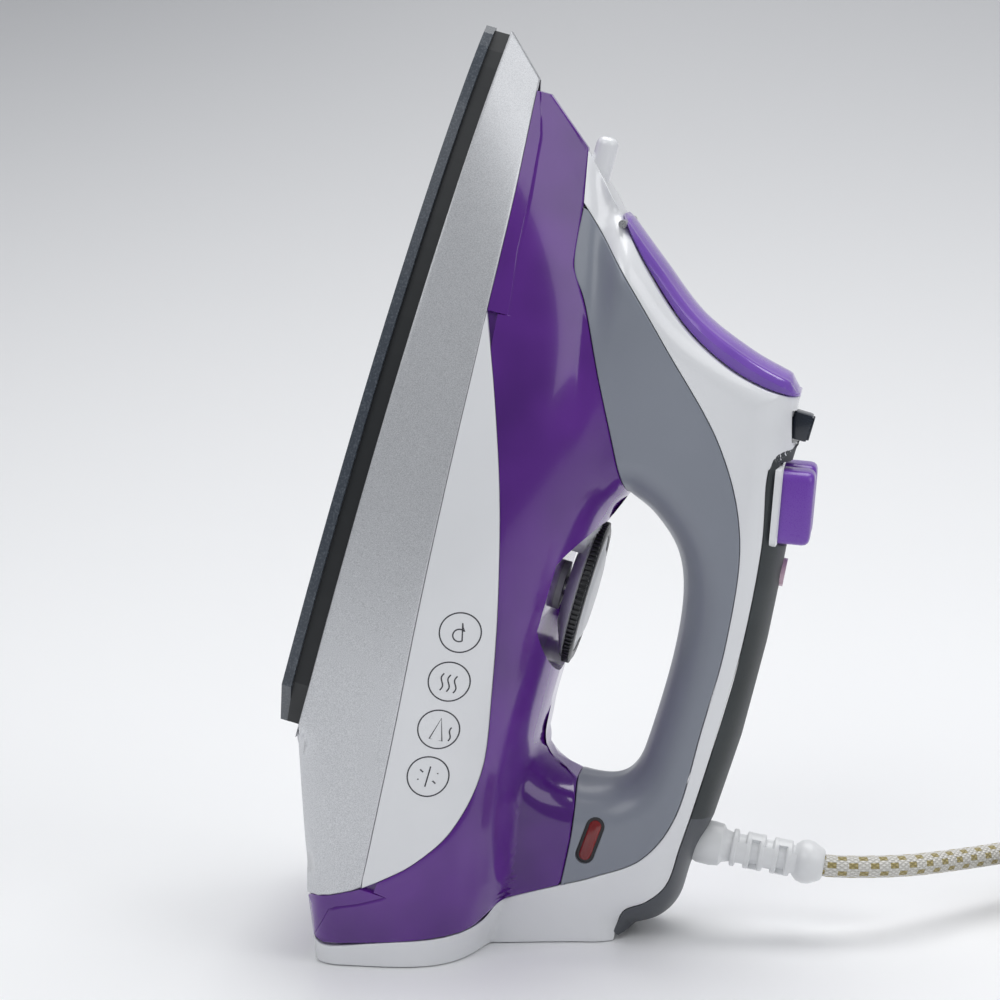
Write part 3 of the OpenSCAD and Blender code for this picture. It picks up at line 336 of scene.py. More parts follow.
def braid_material():
    """White yarn cover with rows of ochre dashes, staggered from row to row, painted darker between the strands as
    painted shade.
    """
    mat, nodes, links, shader = new_material("braided_cover")
    uv = nodes.new("ShaderNodeUVMap")
    uv.uv_map = "along_cord"
    split = nodes.new("ShaderNodeSeparateXYZ")
    links.new(uv.outputs["UV"], split.inputs["Vector"])
    round_it, along = split.outputs["X"], split.outputs["Y"]
    pitch, rows, strands = 0.0066, 8, 16
    row = chain(nodes, links, round_it, ("MULTIPLY", rows), ("FLOOR", None))
    step = chain(nodes, links, row, ("MULTIPLY", 0.5))
    check = chain(nodes, links, along, ("DIVIDE", pitch), ("ADD", step), ("FRACT", None))
    check = chain(nodes, links, check, ("LESS_THAN", 0.42))
    # Only a stripe in the middle of each row is ochre.
    across = chain(nodes, links, round_it, ("MULTIPLY", rows), ("FRACT", None),
                   ("SUBTRACT", 0.5), ("ABSOLUTE", None), ("LESS_THAN", 0.34))
    ochre = chain(nodes, links, check, ("MULTIPLY", across))
    # Over and under of the yarns, running both ways round the lead. It raises the yarns and also paints them
    # darker where they dip between strands: painted shade in the gaps of the weave.
    one = chain(nodes, links, along, ("DIVIDE", pitch / 3.0))
    left = chain(nodes, links, round_it, ("MULTIPLY", strands), ("ADD", one),
                 ("MULTIPLY", math.pi), ("SINE", None), ("ABSOLUTE", None))
    right = chain(nodes, links, round_it, ("MULTIPLY", strands), ("SUBTRACT", one),
                  ("MULTIPLY", math.pi), ("SINE", None), ("ABSOLUTE", None))
    weave = chain(nodes, links, left, ("MULTIPLY", right))
    # Both yarn colours are painted darker in the dips between strands: painted shade.
    shade = mixed(nodes, links, weave, (0.60, 0.58, 0.53), (0.86, 0.85, 0.81))
    gold = mixed(nodes, links, weave, (0.30, 0.24, 0.09), (0.50, 0.42, 0.18))
    links.new(mixed(nodes, links, ochre, shade, gold), shader.inputs["Base Color"])
    shader.inputs["Roughness"].default_value = 0.82
    shader.inputs["Sheen Weight"].default_value = 0.35
    shader.inputs["Sheen Roughness"].default_value = 0.5
    raised(nodes, links, shader, weave, 0.0004)
    return mat


mains_lead = plain_object("mains_lead", tube_mesh("mains_lead", cord_path, CORD_D / 2))
mains_lead.data.materials.append(braid_material())
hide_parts("mains_cord", "cord_coil", "cord_tail")
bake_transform(mains_lead)

# ------------------------------------------------------- body and its skirt
# The moulded covers share one streamlined body.  It is described from the
# soleplate: u runs from the heel to the nose, v from the sole to the handle,
# in millimetres.  The skirt is silver-painted plastic screwed to the sole.
LEAN = math.radians(15.5)
SOLE_T = 3.0
LEAN_S, LEAN_C = math.sin(LEAN), math.cos(LEAN)
sole_low, sole_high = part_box("soleplate")
ROW_X = sole_low[0] * 1000
ROW_Z = sole_low[2] * 1000 + SOLE_T * LEAN_S
SOLE_HALF = (sole_high[1] - sole_low[1]) * 500
GRIP_HALF = 18.0
POST_HALF = 25.0
RIDGE_FOOT = (221.0, 8.0)
RIDGE_HEAD = (178.5, 57.0)


def row(u, y, v):
    """Place in metres of a point given from the soleplate in millimetres."""
    return ((ROW_X + u * LEAN_S + v * LEAN_C) / 1000, y / 1000, (ROW_Z + u * LEAN_C - v * LEAN_S) / 1000)


def table_u(v):
    """Place along the soleplate of the table's surface at a height v."""
    return (v * LEAN_S - ROW_Z) / LEAN_C


def line(*points, pieces=8):
    """Smooth line of the side view through a few points."""
    return smooth_path(points, pieces)


neck_line = line((178.5, 57), (166, 73), (154, 89), (147, 106), (144, 118), (143, 124))
lid_line = line((176, 58), (164, 69), (150, 85), (142, 100), (138.5, 113), (138, 125))
top_line = line((138, 125), (133, 125.5), (122, 128.5), (105, 132), (89, 134.5), (61, 137), (30, 138),
                (2, 137))
rear_line = line((2, 137), (-14, 134.5), (-27, 134), (-35, 130), (-40, 123))
hole_line = line((94, 83), (90, 92), (81, 102), (68, 107.5), (48, 110), (22, 110), (10, 108.5),
                 (4, 103), (2, 92), (4, 84), (10, 78.5), (24, 77), (58, 77), (84, 79), (94, 83))
SLOPE_FOOT = (0.0, 6.5)
heel_front = (table_u(31), 31.0)
heel_back = (table_u(118), 118.0)
skirt_line = line((209, 20.5), (175, 25), (140, 28), (96, 31), (52, 34), (10, 37), (-40, 40))
skirt_tail = line((-40, 40), (-44.5, 32), (-48.5, 23.5))
panel_line = line((140, 28), (116, 38), (88, 48), (58, 56), (30, 61.5), (4, 65), (-14, 62),
                  (-27, 54), (-35, 46), (-40, 40))
frame_front = line((177, 45), (159, 48), (148, 55), (121, 69), (94, 83))
frame_back = line((-30, 97), (-25, 106), (-15, 119), (2, 125.5), (30, 125.5), (60, 125), (92, 120),
                  (118, 106), (142, 83), (160, 64.5), (177, 45))
grip_line = line((123, 128.5), (120, 123), (112, 122.5), (91, 127), (60, 130), (30, 130.5), (2, 130))
post_line = line((2, 92), (-5, 94.5), (-15, 96), (-30, 97))
heel_line = line((-60.5, 28.5), (-61, 34), (-54, 52), (-45.5, 75), (-39, 81), (-30, 97))
cover_line = line((2, 130), (-9, 129.5), (-21, 129), (-28, 124.5), (-33, 118.5), (-40, 117.5))
loop_line = np.concatenate([neck_line, top_line, rear_line])


def ramp(x, a, b):
    """Share of the way from a to b."""
    return np.clip((x - a) / (b - a), 0, 1)


def eased(x, a, b):
    """Share of the way from a to b, starting and ending gently."""
    t = ramp(x, a, b)
    return t * t * (3 - 2 * t)


def distance_to(points, path):
    """Shortest distance from each point to a line."""
    a, b = path[:-1], path[1:]
    ab = b - a
    keep = np.einsum("ij,ij->i", ab, ab) > 1e-12
    a, ab = a[keep], ab[keep]
    ap = points[:, None, :] - a[None]
    t = np.clip(np.einsum("nij,ij->ni", ap, ab) / np.einsum("ij,ij->i", ab, ab), 0, 1)
    return np.linalg.norm(ap - ab[None] * t[..., None], axis=2).min(axis=1)


def round_in(d, r):
    """Share of full width at a distance d from an edge rounded by r."""
    t = 1 - np.minimum(d, r) / r
    return np.sqrt(np.maximum(1 - t * t, 0))


def bow(u, tip):
    """Half width of the boat-shaped plan, which ends at the tip."""
    return SOLE_HALF * np.maximum(1 - ramp(u, 20, tip) ** 2.1, 0) ** 0.8


def half_width(points):
    """Half width of the body at points of its side view."""
    points = np.asarray(points, float)
    u, v = points[:, 0], points[:, 1]
    ridge = RIDGE_FOOT[0] - (RIDGE_FOOT[0] - RIDGE_HEAD[0]) / (RIDGE_HEAD[1] - RIDGE_FOOT[1]) \
        * np.maximum(v - RIDGE_FOOT[1], 0)
    heel = eased(u, 10, -35)
    x = ramp(v, 20, 77.5 + 4.5 * heel)
    arch = np.maximum(1 - x ** (3.2 + 3.8 * heel), 0) ** (1 / 2.2)
    slope = distance_to(points, np.array([SLOPE_FOOT, heel_front]))
    back = np.where(u < 0, 9 * (1 - round_in(slope, 9)), 0)
    hull = (bow(u, ridge) - back) * arch
    edge = np.minimum(distance_to(points, loop_line), distance_to(points, hole_line))
    post = (POST_HALF + (GRIP_HALF - POST_HALF) * eased(v, 68, 118)) * round_in(edge, 13) \
        * eased(v, 40, 66)
    join = np.maximum(8 - np.abs(hull - post), 0) ** 2 / 32
    return np.maximum(hull, post) + join


def along(path, shares):
    """Points at shares of a line's length."""
    steps = np.concatenate([[0], np.cumsum(np.linalg.norm(np.diff(path, axis=0), axis=1))])
    at = np.clip(shares, 0, 1) * steps[-1]
    return np.stack([np.interp(at, steps, path[:, 0]), np.interp(at, steps, path[:, 1])], -1)


LIP = 0.45       # rounding of a cover's edges
SEAM = 0.22      # gap between two covers
WELD = 2e-6      # points closer than this, in metres, are one


def edge_steps(length, inner, lip=LIP):
    """Places across a cover: close together at its two rounded edges."""
    fine = np.array([0, 0.08, 0.3, 0.65, 1.0]) * lip
    middle = np.linspace(lip, length - lip, inner + 2)[1:-1]
    return np.concatenate([fine, middle, length - fine[::-1]])


def lip_drop(s, length, lip=LIP):
    """How far a rounded edge falls back from the surface."""
    near = np.minimum(np.minimum(s, length - s) / lip, 1)
    return lip * (1 - np.sqrt(np.maximum(1 - (1 - near) ** 2, 0)))


def grid_mesh(name, rings, closed=True, smooth_under=32):
    """Mesh through rings of points in (u, y, v), closed round each ring."""
    n, m = len(rings), len(rings[0])
    mesh = bpy.data.meshes.new(name)
    faces = [(i * m + k, (i + 1) * m + k, (i + 1) * m + (k + 1) % m, i * m + (k + 1) % m)
             for i in range(n - 1) for k in range(m)]
    if not closed:
        faces += [((n - 1) * m + k, k, (k + 1) % m, (n - 1) * m + (k + 1) % m) for k in range(m)]
    else:
        for base in (0, (n - 1) * m):
            faces += [(base + k, base + k + 1, base + m - 2 - k, base + m - 1 - k)
                      for k in range(m // 2 - 1)]
    mesh.from_pydata([row(*p) for ring in rings for p in ring], [], faces)
    mesh.validate()
    outwards(mesh, weld=WELD)
    shade(mesh, smooth_under)
    return mesh


def u_band(name, web, free, thick=2.2, stations=150, inner=12, across=9, gap=SEAM):
    """Cover that wraps the body from one line, across it, to the other line on both sides."""
    shares = np.linspace(0, 1, stations + 1)
    rings = []
    for a, b in zip(along(web, shares), along(free, shares)):
        way = (b - a) / max(np.linalg.norm(b - a), 1e-9)
        length = max(np.linalg.norm(b - a) - gap, 3 * LIP)
        start = a + way * gap / 2
        s = edge_steps(length, inner)
        wall = min(thick, 0.45 * length)
        points = start + s[:, None] * way
        width = np.maximum(half_width(points) - lip_drop(s, length), 0.3)
        inside = start + np.linspace(wall, length, inner + 10)[:, None] * way
        narrow = np.maximum(half_width(inside) - thick, 0.2)
        outer = [(p[0], w, p[1]) for p, w in zip(points, width)]
        deep = [(p[0], w, p[1]) for p, w in zip(inside, narrow)]
        top = [(start[0], width[0] * y, start[1]) for y in np.linspace(1, -1, across)[1:-1]]
        under = [(inside[0][0], narrow[0] * y, inside[0][1]) for y in np.linspace(-1, 1, across)[1:-1]]
        flip = [(u, -y, v) for u, y, v in outer]
        flip_deep = [(u, -y, v) for u, y, v in deep]
        rings.append(outer[::-1] + top + flip + flip_deep[::-1] + under + deep)
    return grid_mesh(name, rings)


def speckle(nodes, links, size, detail=3.0):
    """Fine even noise on the object, with spots of the given size in metres."""
    place = nodes.new("ShaderNodeTexCoord")
    noise = nodes.new("ShaderNodeTexNoise")
    noise.inputs["Scale"].default_value = 1.0 / size
    noise.inputs["Detail"].default_value = detail
    links.new(place.outputs["Object"], noise.inputs["Vector"])
    return noise.outputs["Fac"]


def between(nodes, links, share, low, high, out_low, out_high):
    """Share mapped from one range to another."""
    node = nodes.new("ShaderNodeMapRange")
    for key, value in (("From Min", low), ("From Max", high), ("To Min", out_low),
                       ("To Max", out_high)):
        node.inputs[key].default_value = value
    links.new(share, node.inputs["Value"])
    return node.outputs["Result"]


def moulded(name, colour, rough, coat=0.0, grain=0.00025, depth=0.00001, tone=0.06, metal=0.0):
    """Injection-moulded plastic: faint grain, slight clouding of tone, uneven gloss."""
    mat, nodes, links, shader = new_material(name)
    cloud = speckle(nodes, links, 0.03)
    low = tuple(c * (1 - tone) for c in colour)
    high = tuple(min(1.0, c * (1 + tone)) for c in colour)
    links.new(mixed(nodes, links, between(nodes, links, cloud, 0.3, 0.7, 0, 1), low, high),
              shader.inputs["Base Color"])
    fine = speckle(nodes, links, grain, 2.0)
    links.new(between(nodes, links, fine, 0.3, 0.7, rough * 0.85, rough * 1.15),
              shader.inputs["Roughness"])
    shader.inputs["Coat Weight"].default_value = coat
    shader.inputs["Coat Roughness"].default_value = 0.12
    shader.inputs["Metallic"].default_value = metal
    raised(nodes, links, shader, fine, depth)
    return mat


def add_piece(name, mesh, material, body="root", stands_for=()):
    """Puts a mesh in the scene as a piece that moves with a body."""
    piece = plain_object(name, mesh)
    piece.data.materials.append(material)
    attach(piece, body)
    if stands_for:
        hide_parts(*stands_for)
    return piece


def silver_paint():
    """Metallic paint: fine flakes of uneven brightness under a thin clear coat."""
    mat, nodes, links, shader = new_material("silver_paint")
    flakes = speckle(nodes, links, 0.00022, 1.0)
    share = between(nodes, links, flakes, 0.35, 0.65, 0, 1)
    links.new(mixed(nodes, links, share, (0.52, 0.53, 0.55), (0.74, 0.75, 0.77)),
              shader.inputs["Base Color"])
    shader.inputs["Metallic"].default_value = 0.7
    links.new(between(nodes, links, flakes, 0.3, 0.7, 0.34, 0.44), shader.inputs["Roughness"])
    shader.inputs["Coat Weight"].default_value = 0.35
    shader.inputs["Coat Roughness"].default_value = 0.2
    raised(nodes, links, shader, flakes, 0.000006)
    return mat


def skirt_mesh():
    """Wall of even thickness, open above and below, with a closed heel end."""
    thick, stations, levels = 2.0, 130, 22
    low = np.array([(0.5, 8.15), RIDGE_FOOT])
    high = np.concatenate([skirt_tail[::-1], skirt_line[::-1][1:]])
    shares = np.linspace(0, 1, stations + 1) ** 0.9
    shares = 1 - (1 - shares) ** 1.35
    foot, head = along(low, shares), along(high, shares)
    length = np.linalg.norm(head - foot, axis=1).mean()
    s = edge_steps(length, levels)

    def loop(share, inset):
        points = foot + (head - foot) * share
        width = np.maximum(half_width(points) - inset, 0.5)
        # The wall runs along one side, round the nose, along the other and across the heel.
        side = [(p[0], w, p[1]) for p, w in zip(points, width)]
        back = [(side[0][0], side[0][1] * y, side[0][2]) for y in np.linspace(-1, 1, 14)[1:-1]]
        return side + [(u, -y, v) for u, y, v in side[::-1]] + back

    drop = lip_drop(s, length)
    rings = [loop(t / length, d) for t, d in zip(s, drop)]
    inside = [loop(t, thick) for t in np.linspace(1, 0, 8)]
    return grid_mesh("skirt_shell", rings + inside, closed=False)


add_piece("skirt_shell", skirt_mesh(), silver_paint(), stands_for=["skirt"])

# ------------------------------------------------------------- water tank
# Two clear violet mouldings welded into one tank.  It fills the space
# between the skirt, the white side panels and the handle, and is hollow.
PANEL_T = 1.8
PANEL_HEEL, PANEL_NOSE = -40, 140
TANK_U = (-60.3, 205.8)
DIAL_U, DIAL_V, DIAL_D = 58.5, 76.4, 47.0
WELL_FLOOR, WELL_H, WELL_GAP, WELL_STRETCH = 69.0, 32.5, 2.0, 1.4
tank_low = np.concatenate([[heel_front], skirt_tail[::-1], skirt_line[::-1][1:]])
tank_high = line((-60.5, 33), (-54, 52), (-45.5, 75), (-39, 81), (-30, 97), (-15, 96), (-5, 94.5),
                 (1.5, 92), (4, 84), (7, 80.3), (12, 78.4), (24, 77.4), (70, 77.4), (84, 79),
                 (94, 83), (121, 69), (148, 55), (159, 48), (177, 45), (193, 41), (206, 25), pieces=1)


def clear_violet(name, deep, pale, through=0.25):
    """Tinted clear plastic: darker in the body, painted paler towards grazing angles along its folds as a painted
    highlight.
    """
    mat, nodes, links, shader = new_material(name)
    cloud = speckle(nodes, links, 0.035, 2.0)
    # Facing weight paints the colour paler towards grazing angles: a painted highlight along the folds. The cloud
    # adds random tone.
    facing = nodes.new("ShaderNodeLayerWeight")
    facing.inputs["Blend"].default_value = 0.35
    share = chain(nodes, links, between(nodes, links, cloud, 0.35, 0.65, 0, 0.45),
                  ("ADD", facing.outputs["Facing"]), ("MINIMUM", 1.0))
    links.new(mixed(nodes, links, share, deep, pale), shader.inputs["Base Color"])
    shader.inputs["Roughness"].default_value = 0.16
    shader.inputs["Transmission Weight"].default_value = through
    shader.inputs["IOR"].default_value = 1.49
    shader.inputs["Coat Weight"].default_value = 0.5
    shader.inputs["Coat Roughness"].default_value = 0.06
    return mat


def tank_mesh():
    """Body of the tank in slices along the soleplate, sunk where the side panels lie."""
    step = 0.2
    near_panel = [end + move for end in (PANEL_HEEL, PANEL_NOSE) for move in (-step, step)]
    stations = np.unique(np.concatenate([np.linspace(*TANK_U, 170), near_panel]))
    panel_rows, side_rows, crowding = 6, 36, 1.3
    rings = []
    for u in stations:
        low = np.interp(u, tank_low[:, 0], tank_low[:, 1]) + SEAM / 2
        high = max(np.interp(u, tank_high[:, 0], tank_high[:, 1]) - SEAM / 2, low + 0.8)
        behind = PANEL_HEEL < u < PANEL_NOSE
        edge = np.interp(u, panel_line[::-1][:, 0], panel_line[::-1][:, 1]) if behind \
            else low + 0.2 * (high - low)
        edge = min(max(edge, low + 0.1 * (high - low)), high - 0.3)
        spread = 1 - (1 - np.linspace(0, 1, side_rows)) ** crowding
        v = np.concatenate([np.linspace(low, edge - 0.05, panel_rows),
                            edge + 0.05 + (high - edge - 0.05) * spread])
        below = np.arange(len(v)) < panel_rows
        sunk = np.where(below & behind, PANEL_T + SEAM, 0.0)
        s = (v - edge).clip(0)
        drop = np.where(below, 0, lip_drop(s, max(high - edge, 1)))
        width = np.maximum(half_width(np.stack([np.full_like(v, u), v], -1)) - sunk - drop, 0.4)
        side = [(u, w, h) for w, h in zip(width, v)]
        top = [(u, width[-1] * y, high) for y in np.linspace(1, -1, 13)[1:-1]]
        under = [(u, width[0] * y, low) for y in np.linspace(-1, 1, 13)[1:-1]]
        rings.append(side + top + [(a, -y, b) for a, y, b in side[::-1]] + under)
    n, m = len(rings), len(rings[0])
    faces = ring_faces(n, m) + end_faces(n, m)
    return solid_mesh("tank_shell", [row(*p) for ring in rings for p in ring], faces, weld=WELD)


def disc(radius, low, high, u, sides=96):
    """Upright cylinder in the soleplate's frame, for cutting."""
    ring = [(radius * math.cos(2 * math.pi * k / sides), radius * math.sin(2 * math.pi * k / sides))
            for k in range(sides)]
    verts = [row(u + x, y, low) for x, y in ring] + [row(u + x, y, high) for x, y in ring]
    return solid_mesh("cutter", verts, ring_faces(2, sides) + end_faces(2, sides))


def cut(mesh, cutters, angle=32):
    """The mesh with other meshes taken out of it."""
    body = plain_object("cut_body", mesh)
    tools = []
    for cutter in cutters:
        tool = plain_object("cut_tool", cutter)
        tools.append(tool)
        step = body.modifiers.new("cut", "BOOLEAN")
        step.object = tool
        step.solver = "EXACT"
    bpy.context.view_layer.update()
    graph = bpy.context.evaluated_depsgraph_get()
    result = bpy.data.meshes.new_from_object(body.evaluated_get(graph))
    for obj in [body] + tools:
        bpy.data.objects.remove(obj)
    result.name = mesh.name
    result.materials.clear()
    shade(result, angle)
    return result


tank_violet = clear_violet("tank_violet", (0.070, 0.006, 0.185), (0.175, 0.030, 0.40), through=0.12)
well = disc(DIAL_D / 2 + WELL_GAP, WELL_FLOOR, WELL_FLOOR + WELL_H, DIAL_U)
for corner in well.vertices:
    corner.co.y *= WELL_STRETCH
add_piece("tank_shell", cut(tank_mesh(), [well]), tank_violet,
          stands_for=["water_tank"])

# ------------------------------------------------------------ side panels
# A glossy white panel let into each side of the tank, with four small
# printed signs for steam, spray, vertical steam and cleaning.
gloss_white = moulded("gloss_white", (0.80, 0.81, 0.83), 0.2, coat=0.5, tone=0.015)
panel_low = skirt_line[::-1]
PANEL_U = (-39.9, 139.5)
PANEL_TIP = 0.002    # share of its length left off at each end


def panel_mesh(side):
    """Thin panel with rounded edges that follows the body on one side."""
    stations, inner = 110, 18
    low = np.array([p for p in panel_low if PANEL_U[0] <= p[0] <= PANEL_U[1]])
    high = panel_line[::-1]
    shares = PANEL_TIP + (1 - 2 * PANEL_TIP) * np.linspace(0, 1, stations)
    rings = []
    for a, b in zip(along(low, shares), along(high, shares)):
        way = (b - a) / max(np.linalg.norm(b - a), 1e-9)
        length = max(np.linalg.norm(b - a) - SEAM, 2.4 * LIP)
        s = edge_steps(length, inner)
        points = a + way * SEAM / 2 + s[:, None] * way
        width = half_width(points)
        face = [(p[0], side * (w - d), p[1]) for p, w, d in zip(points, width, lip_drop(s, length))]
        back = [(p[0], side * (w - PANEL_T), p[1]) for p, w in zip(points, width)]
        rings.append(face + back[::-1])
    return grid_mesh("side_panel", rings)


for side, name in ((1, "left"), (-1, "right")):
    add_piece("panel_" + name, panel_mesh(side), gloss_white,
              stands_for=["side_panel_" + name])


def printed(name, strokes, side, centre, width=0.42, lift=0.03):
    """Thin printed lines on the body's side: each stroke is a list of points round a centre."""
    verts, faces = [], []
    for stroke, shut in strokes:
        points = np.array(stroke, float)
        ways = np.gradient(points, axis=0) if not shut else \
            np.roll(points, -1, axis=0) - np.roll(points, 1, axis=0)
        ways /= np.maximum(np.linalg.norm(ways, axis=1)[:, None], 1e-9)
        normal = np.stack([-ways[:, 1], ways[:, 0]], -1)
        base, n = len(verts), len(points)
        for off in (-width / 2, width / 2):
            p = points + normal * off + np.array(centre)
            w = half_width(p) + lift
            verts += [row(a, side * y, b) for (a, b), y in zip(p, w)]
        faces += [(base + k, base + (k + 1) % n, base + n + (k + 1) % n, base + n + k)
                  for k in range(n if shut else n - 1)]
    mesh = bpy.data.meshes.new(name)
    mesh.from_pydata(verts, [], faces if side > 0 else [f[::-1] for f in faces])
    return mesh


def arc(radius, start=0.0, end=360.0, at=(0, 0), steps=48):
    """Points of a circle or part of one."""
    return [(at[0] + radius * math.cos(math.radians(a)), at[1] + radius * math.sin(math.radians(a)))
            for a in np.linspace(start, end, steps, endpoint=abs(end - start) < 360)]


def wave(at, length, size=0.5):
    """Points of one wave, as steam is drawn."""
    return [(at[0] + length * t, at[1] + size * math.sin(2 * math.pi * t)) for t in np.linspace(0, 1, 14)]


ring = (arc(6.1), True)
drop_sign = [(arc(1.9, 140, 400, (-0.9, 0)) + [(3.0, 0)], True)]
wave_sign = [(wave((-3.2, c), 5.4), False) for c in (-2.0, 0.0, 2.0)]
sole_sign = [([(-3.4, -1.9), (3.6, 0), (-3.4, 1.9)], True), (wave((-3.0, 3.6), 4.4, 0.35), False)]
star_sign = [([(-3.2 * math.cos(a), -3.2 * math.sin(a)), (3.2 * math.cos(a), 3.2 * math.sin(a))], False)
             for a in np.radians((0, 60, 120))]
SIGNS = [((46, 48), drop_sign), ((30.5, 48.8), wave_sign), ((15.2, 49.6), sole_sign),
         ((0.2, 50.4), star_sign)]
ink = moulded("print_ink", (0.045, 0.045, 0.055), 0.5, grain=0.0002)
for side, word in ((-1, "near"), (1, "far")):
    for number, (centre, sign) in enumerate(SIGNS, 1):
        add_piece(f"sign_{word}_{number}", printed("sign", [ring] + sign, side, centre), ink)

# ----------------------------------------------------------- handle frame
# Blue-grey satin moulding: the neck, the underside of the grip and the rear
# post in one piece round the handle's opening, with a pocket for the lamp.
frame_in = np.concatenate([[(176, 44.6)], frame_front[1:-1], hole_line[4:65], post_line[1:]])
frame_out = np.concatenate([[(175.4, 46.6)], frame_back[::-1][1:-1], [(-29.2, 99)]])
LENS_AT = (-13.5, 102.0)
LENS_L, LENS_W = 13.5, 3.8
frame_grey = moulded("frame_grey", (0.235, 0.255, 0.30), 0.36, coat=0.12, tone=0.03)


def slot_mesh(name, length, width, y_low, y_high, at, sides=10, tilt=0.0, bulge=0.0):
    """Round-ended bar lying along the post, through the body's side."""
    outline = []
    for q, sign in ((0, 1), (1, -1)):
        for a in np.linspace(-90, 90, sides):
            x = sign * ((length - width) / 2 + width / 2 * math.cos(math.radians(a)))
            outline.append((x, sign * width / 2 * math.sin(math.radians(a))))
    n = len(outline)
    c, s = math.cos(tilt), math.sin(tilt)
    turned = [(at[0] + x * c - z * s, at[1] + x * s + z * c) for x, z in outline]
    small = [(at[0] + (x * c - z * s) * 0.82, at[1] + (x * s + z * c) * 0.82) for x, z in outline]
    layers = [[row(a, y_low, b) for a, b in turned], [row(a, y_high, b) for a, b in turned]]
    if bulge:
        layers.append([row(a, y_high + bulge, b) for a, b in small])
    verts = [p for layer in layers for p in layer]
    return solid_mesh(name, verts, ring_faces(len(layers), n) + end_faces(len(layers), n))


lens_face = float(half_width([LENS_AT])[0])
LENS_TILT = math.radians(4)
pockets = [slot_mesh("pocket", LENS_L + 2.2, LENS_W + 2.2, *sorted((s * (lens_face - 1.6), s * 60)),
                     LENS_AT, tilt=LENS_TILT) for s in (-1, 1)]
frame_shell = u_band("frame_shell", frame_in, frame_out, thick=2.2, stations=260, inner=14)
add_piece("frame_shell", cut(frame_shell, pockets), frame_grey,
          stands_for=["handle_frame"])

# ----------------------------------------------------------- white covers
# Glossy white cover over the neck, under the lid and along the grip's
# sides, with a slot for the steam lever; and the white heel it stands on.
LEVER_U = (125.0, 133.0)
tank_front = (RIDGE_FOOT[0] - (RIDGE_FOOT[0] - RIDGE_HEAD[0]) / (RIDGE_HEAD[1] - RIDGE_FOOT[1])
              * (41 - RIDGE_FOOT[1]), 41.0)
upper_back = frame_back[frame_back[:, 0] > 1.9]
lower_back = frame_back[frame_back[:, 0] < 2.1]
cover_out = np.concatenate([[tank_front, (184, 50)], lid_line,
                            top_line[(top_line[:, 0] > 122.5) & (top_line[:, 0] < 137)], grip_line])


def block(u0, u1, y0, y1, v0, v1):
    """Block between two places along each way of the soleplate's frame, for cutting."""
    verts = [row(u, y, v) for u in (u0, u1) for y in (y0, y1) for v in (v0, v1)]
    return solid_mesh("cutter", verts, [(0, 1, 3, 2), (4, 6, 7, 5), (0, 4, 5, 1), (2, 3, 7, 6),
                                        (0, 2, 6, 4), (1, 5, 7, 3)])


neck_cover = u_band("neck_cover", cover_out, upper_back[::-1], thick=2.2, stations=240, inner=12)
SLOT_HALF, SLOT_FOOT, SLOT_TOP = 8, 112, 150
lever_slot = block(LEVER_U[0] - 1, LEVER_U[1] + 0.6, -SLOT_HALF, SLOT_HALF, SLOT_FOOT, SLOT_TOP)
add_piece("neck_cover", cut(neck_cover, [lever_slot]), gloss_white,
          stands_for=["handle_cover"])

heel_in = np.concatenate([heel_line[heel_line[:, 1] < 96], lower_back[1:]])
heel_out = np.concatenate([[heel_front, heel_back], cover_line[::-1]])
add_piece("heel_shell", u_band("heel_shell", heel_out, heel_in, thick=2.6, stations=180, inner=10),
          gloss_white, stands_for=["heel_cover"])

# --------------------------------------------------- grip and rear cover
# Charcoal soft-touch rubber moulded over the top of the grip, and a dark
# grey cover over the hinge of the lead.
grip_out = np.array([(122.5, 128.4), (118.6, 128.4), (117.8, 125), (93, 129.9), (92, 134.2), (80, 135.4),
                     (61, 137), (30, 138), (2, 137)])


def soft_rubber():
    """Dull dark rubber with a fine grain."""
    mat, nodes, links, shader = new_material("soft_rubber")
    grain = speckle(nodes, links, 0.00035, 3.0)
    cloud = speckle(nodes, links, 0.02)
    links.new(mixed(nodes, links, between(nodes, links, cloud, 0.3, 0.7, 0, 1), (0.018, 0.024, 0.027),
                    (0.030, 0.038, 0.042)), shader.inputs["Base Color"])
    links.new(between(nodes, links, grain, 0.3, 0.7, 0.45, 0.62), shader.inputs["Roughness"])
    shader.inputs["Sheen Weight"].default_value = 0.15
    raised(nodes, links, shader, grain, 0.00003)
    return mat


grip_rubber = soft_rubber()
add_piece("grip_shell", u_band("grip_shell", grip_out, grip_line, thick=2.6, stations=170, inner=8),
          grip_rubber, stands_for=["soft_grip"])
rear_web = np.concatenate([[(heel_back[0] + 1.5, heel_back[1] + 1)],
                           rear_line[::-1][rear_line[::-1][:, 0] > -39]])
rear_in = np.concatenate([[(heel_back[0] + 3, heel_back[1] - 1.5)],
                          cover_line[::-1][cover_line[::-1][:, 0] > -37]])
cover_grey = moulded("cover_grey", (0.075, 0.082, 0.095), 0.42, coat=0.1, tone=0.05)
add_piece("rear_shell", u_band("rear_shell", rear_web, rear_in, thick=2.4, stations=90, inner=8),
          cover_grey, stands_for=["rear_cover"])

# ----------------------------------------------------------- filling lid
# Clear lilac lid over the filling hole: a curved plate with a raised rim,
# hinged at its lower end on a steel pin.  It rides on its own hinge.
LID_HALF, LID_L, LID_ROUND, LID_CLEAR = 14.5, 110, 9, 0.5
lid_lilac = clear_violet("lid_lilac", (0.13, 0.035, 0.42), (0.34, 0.16, 0.72), through=0.3)


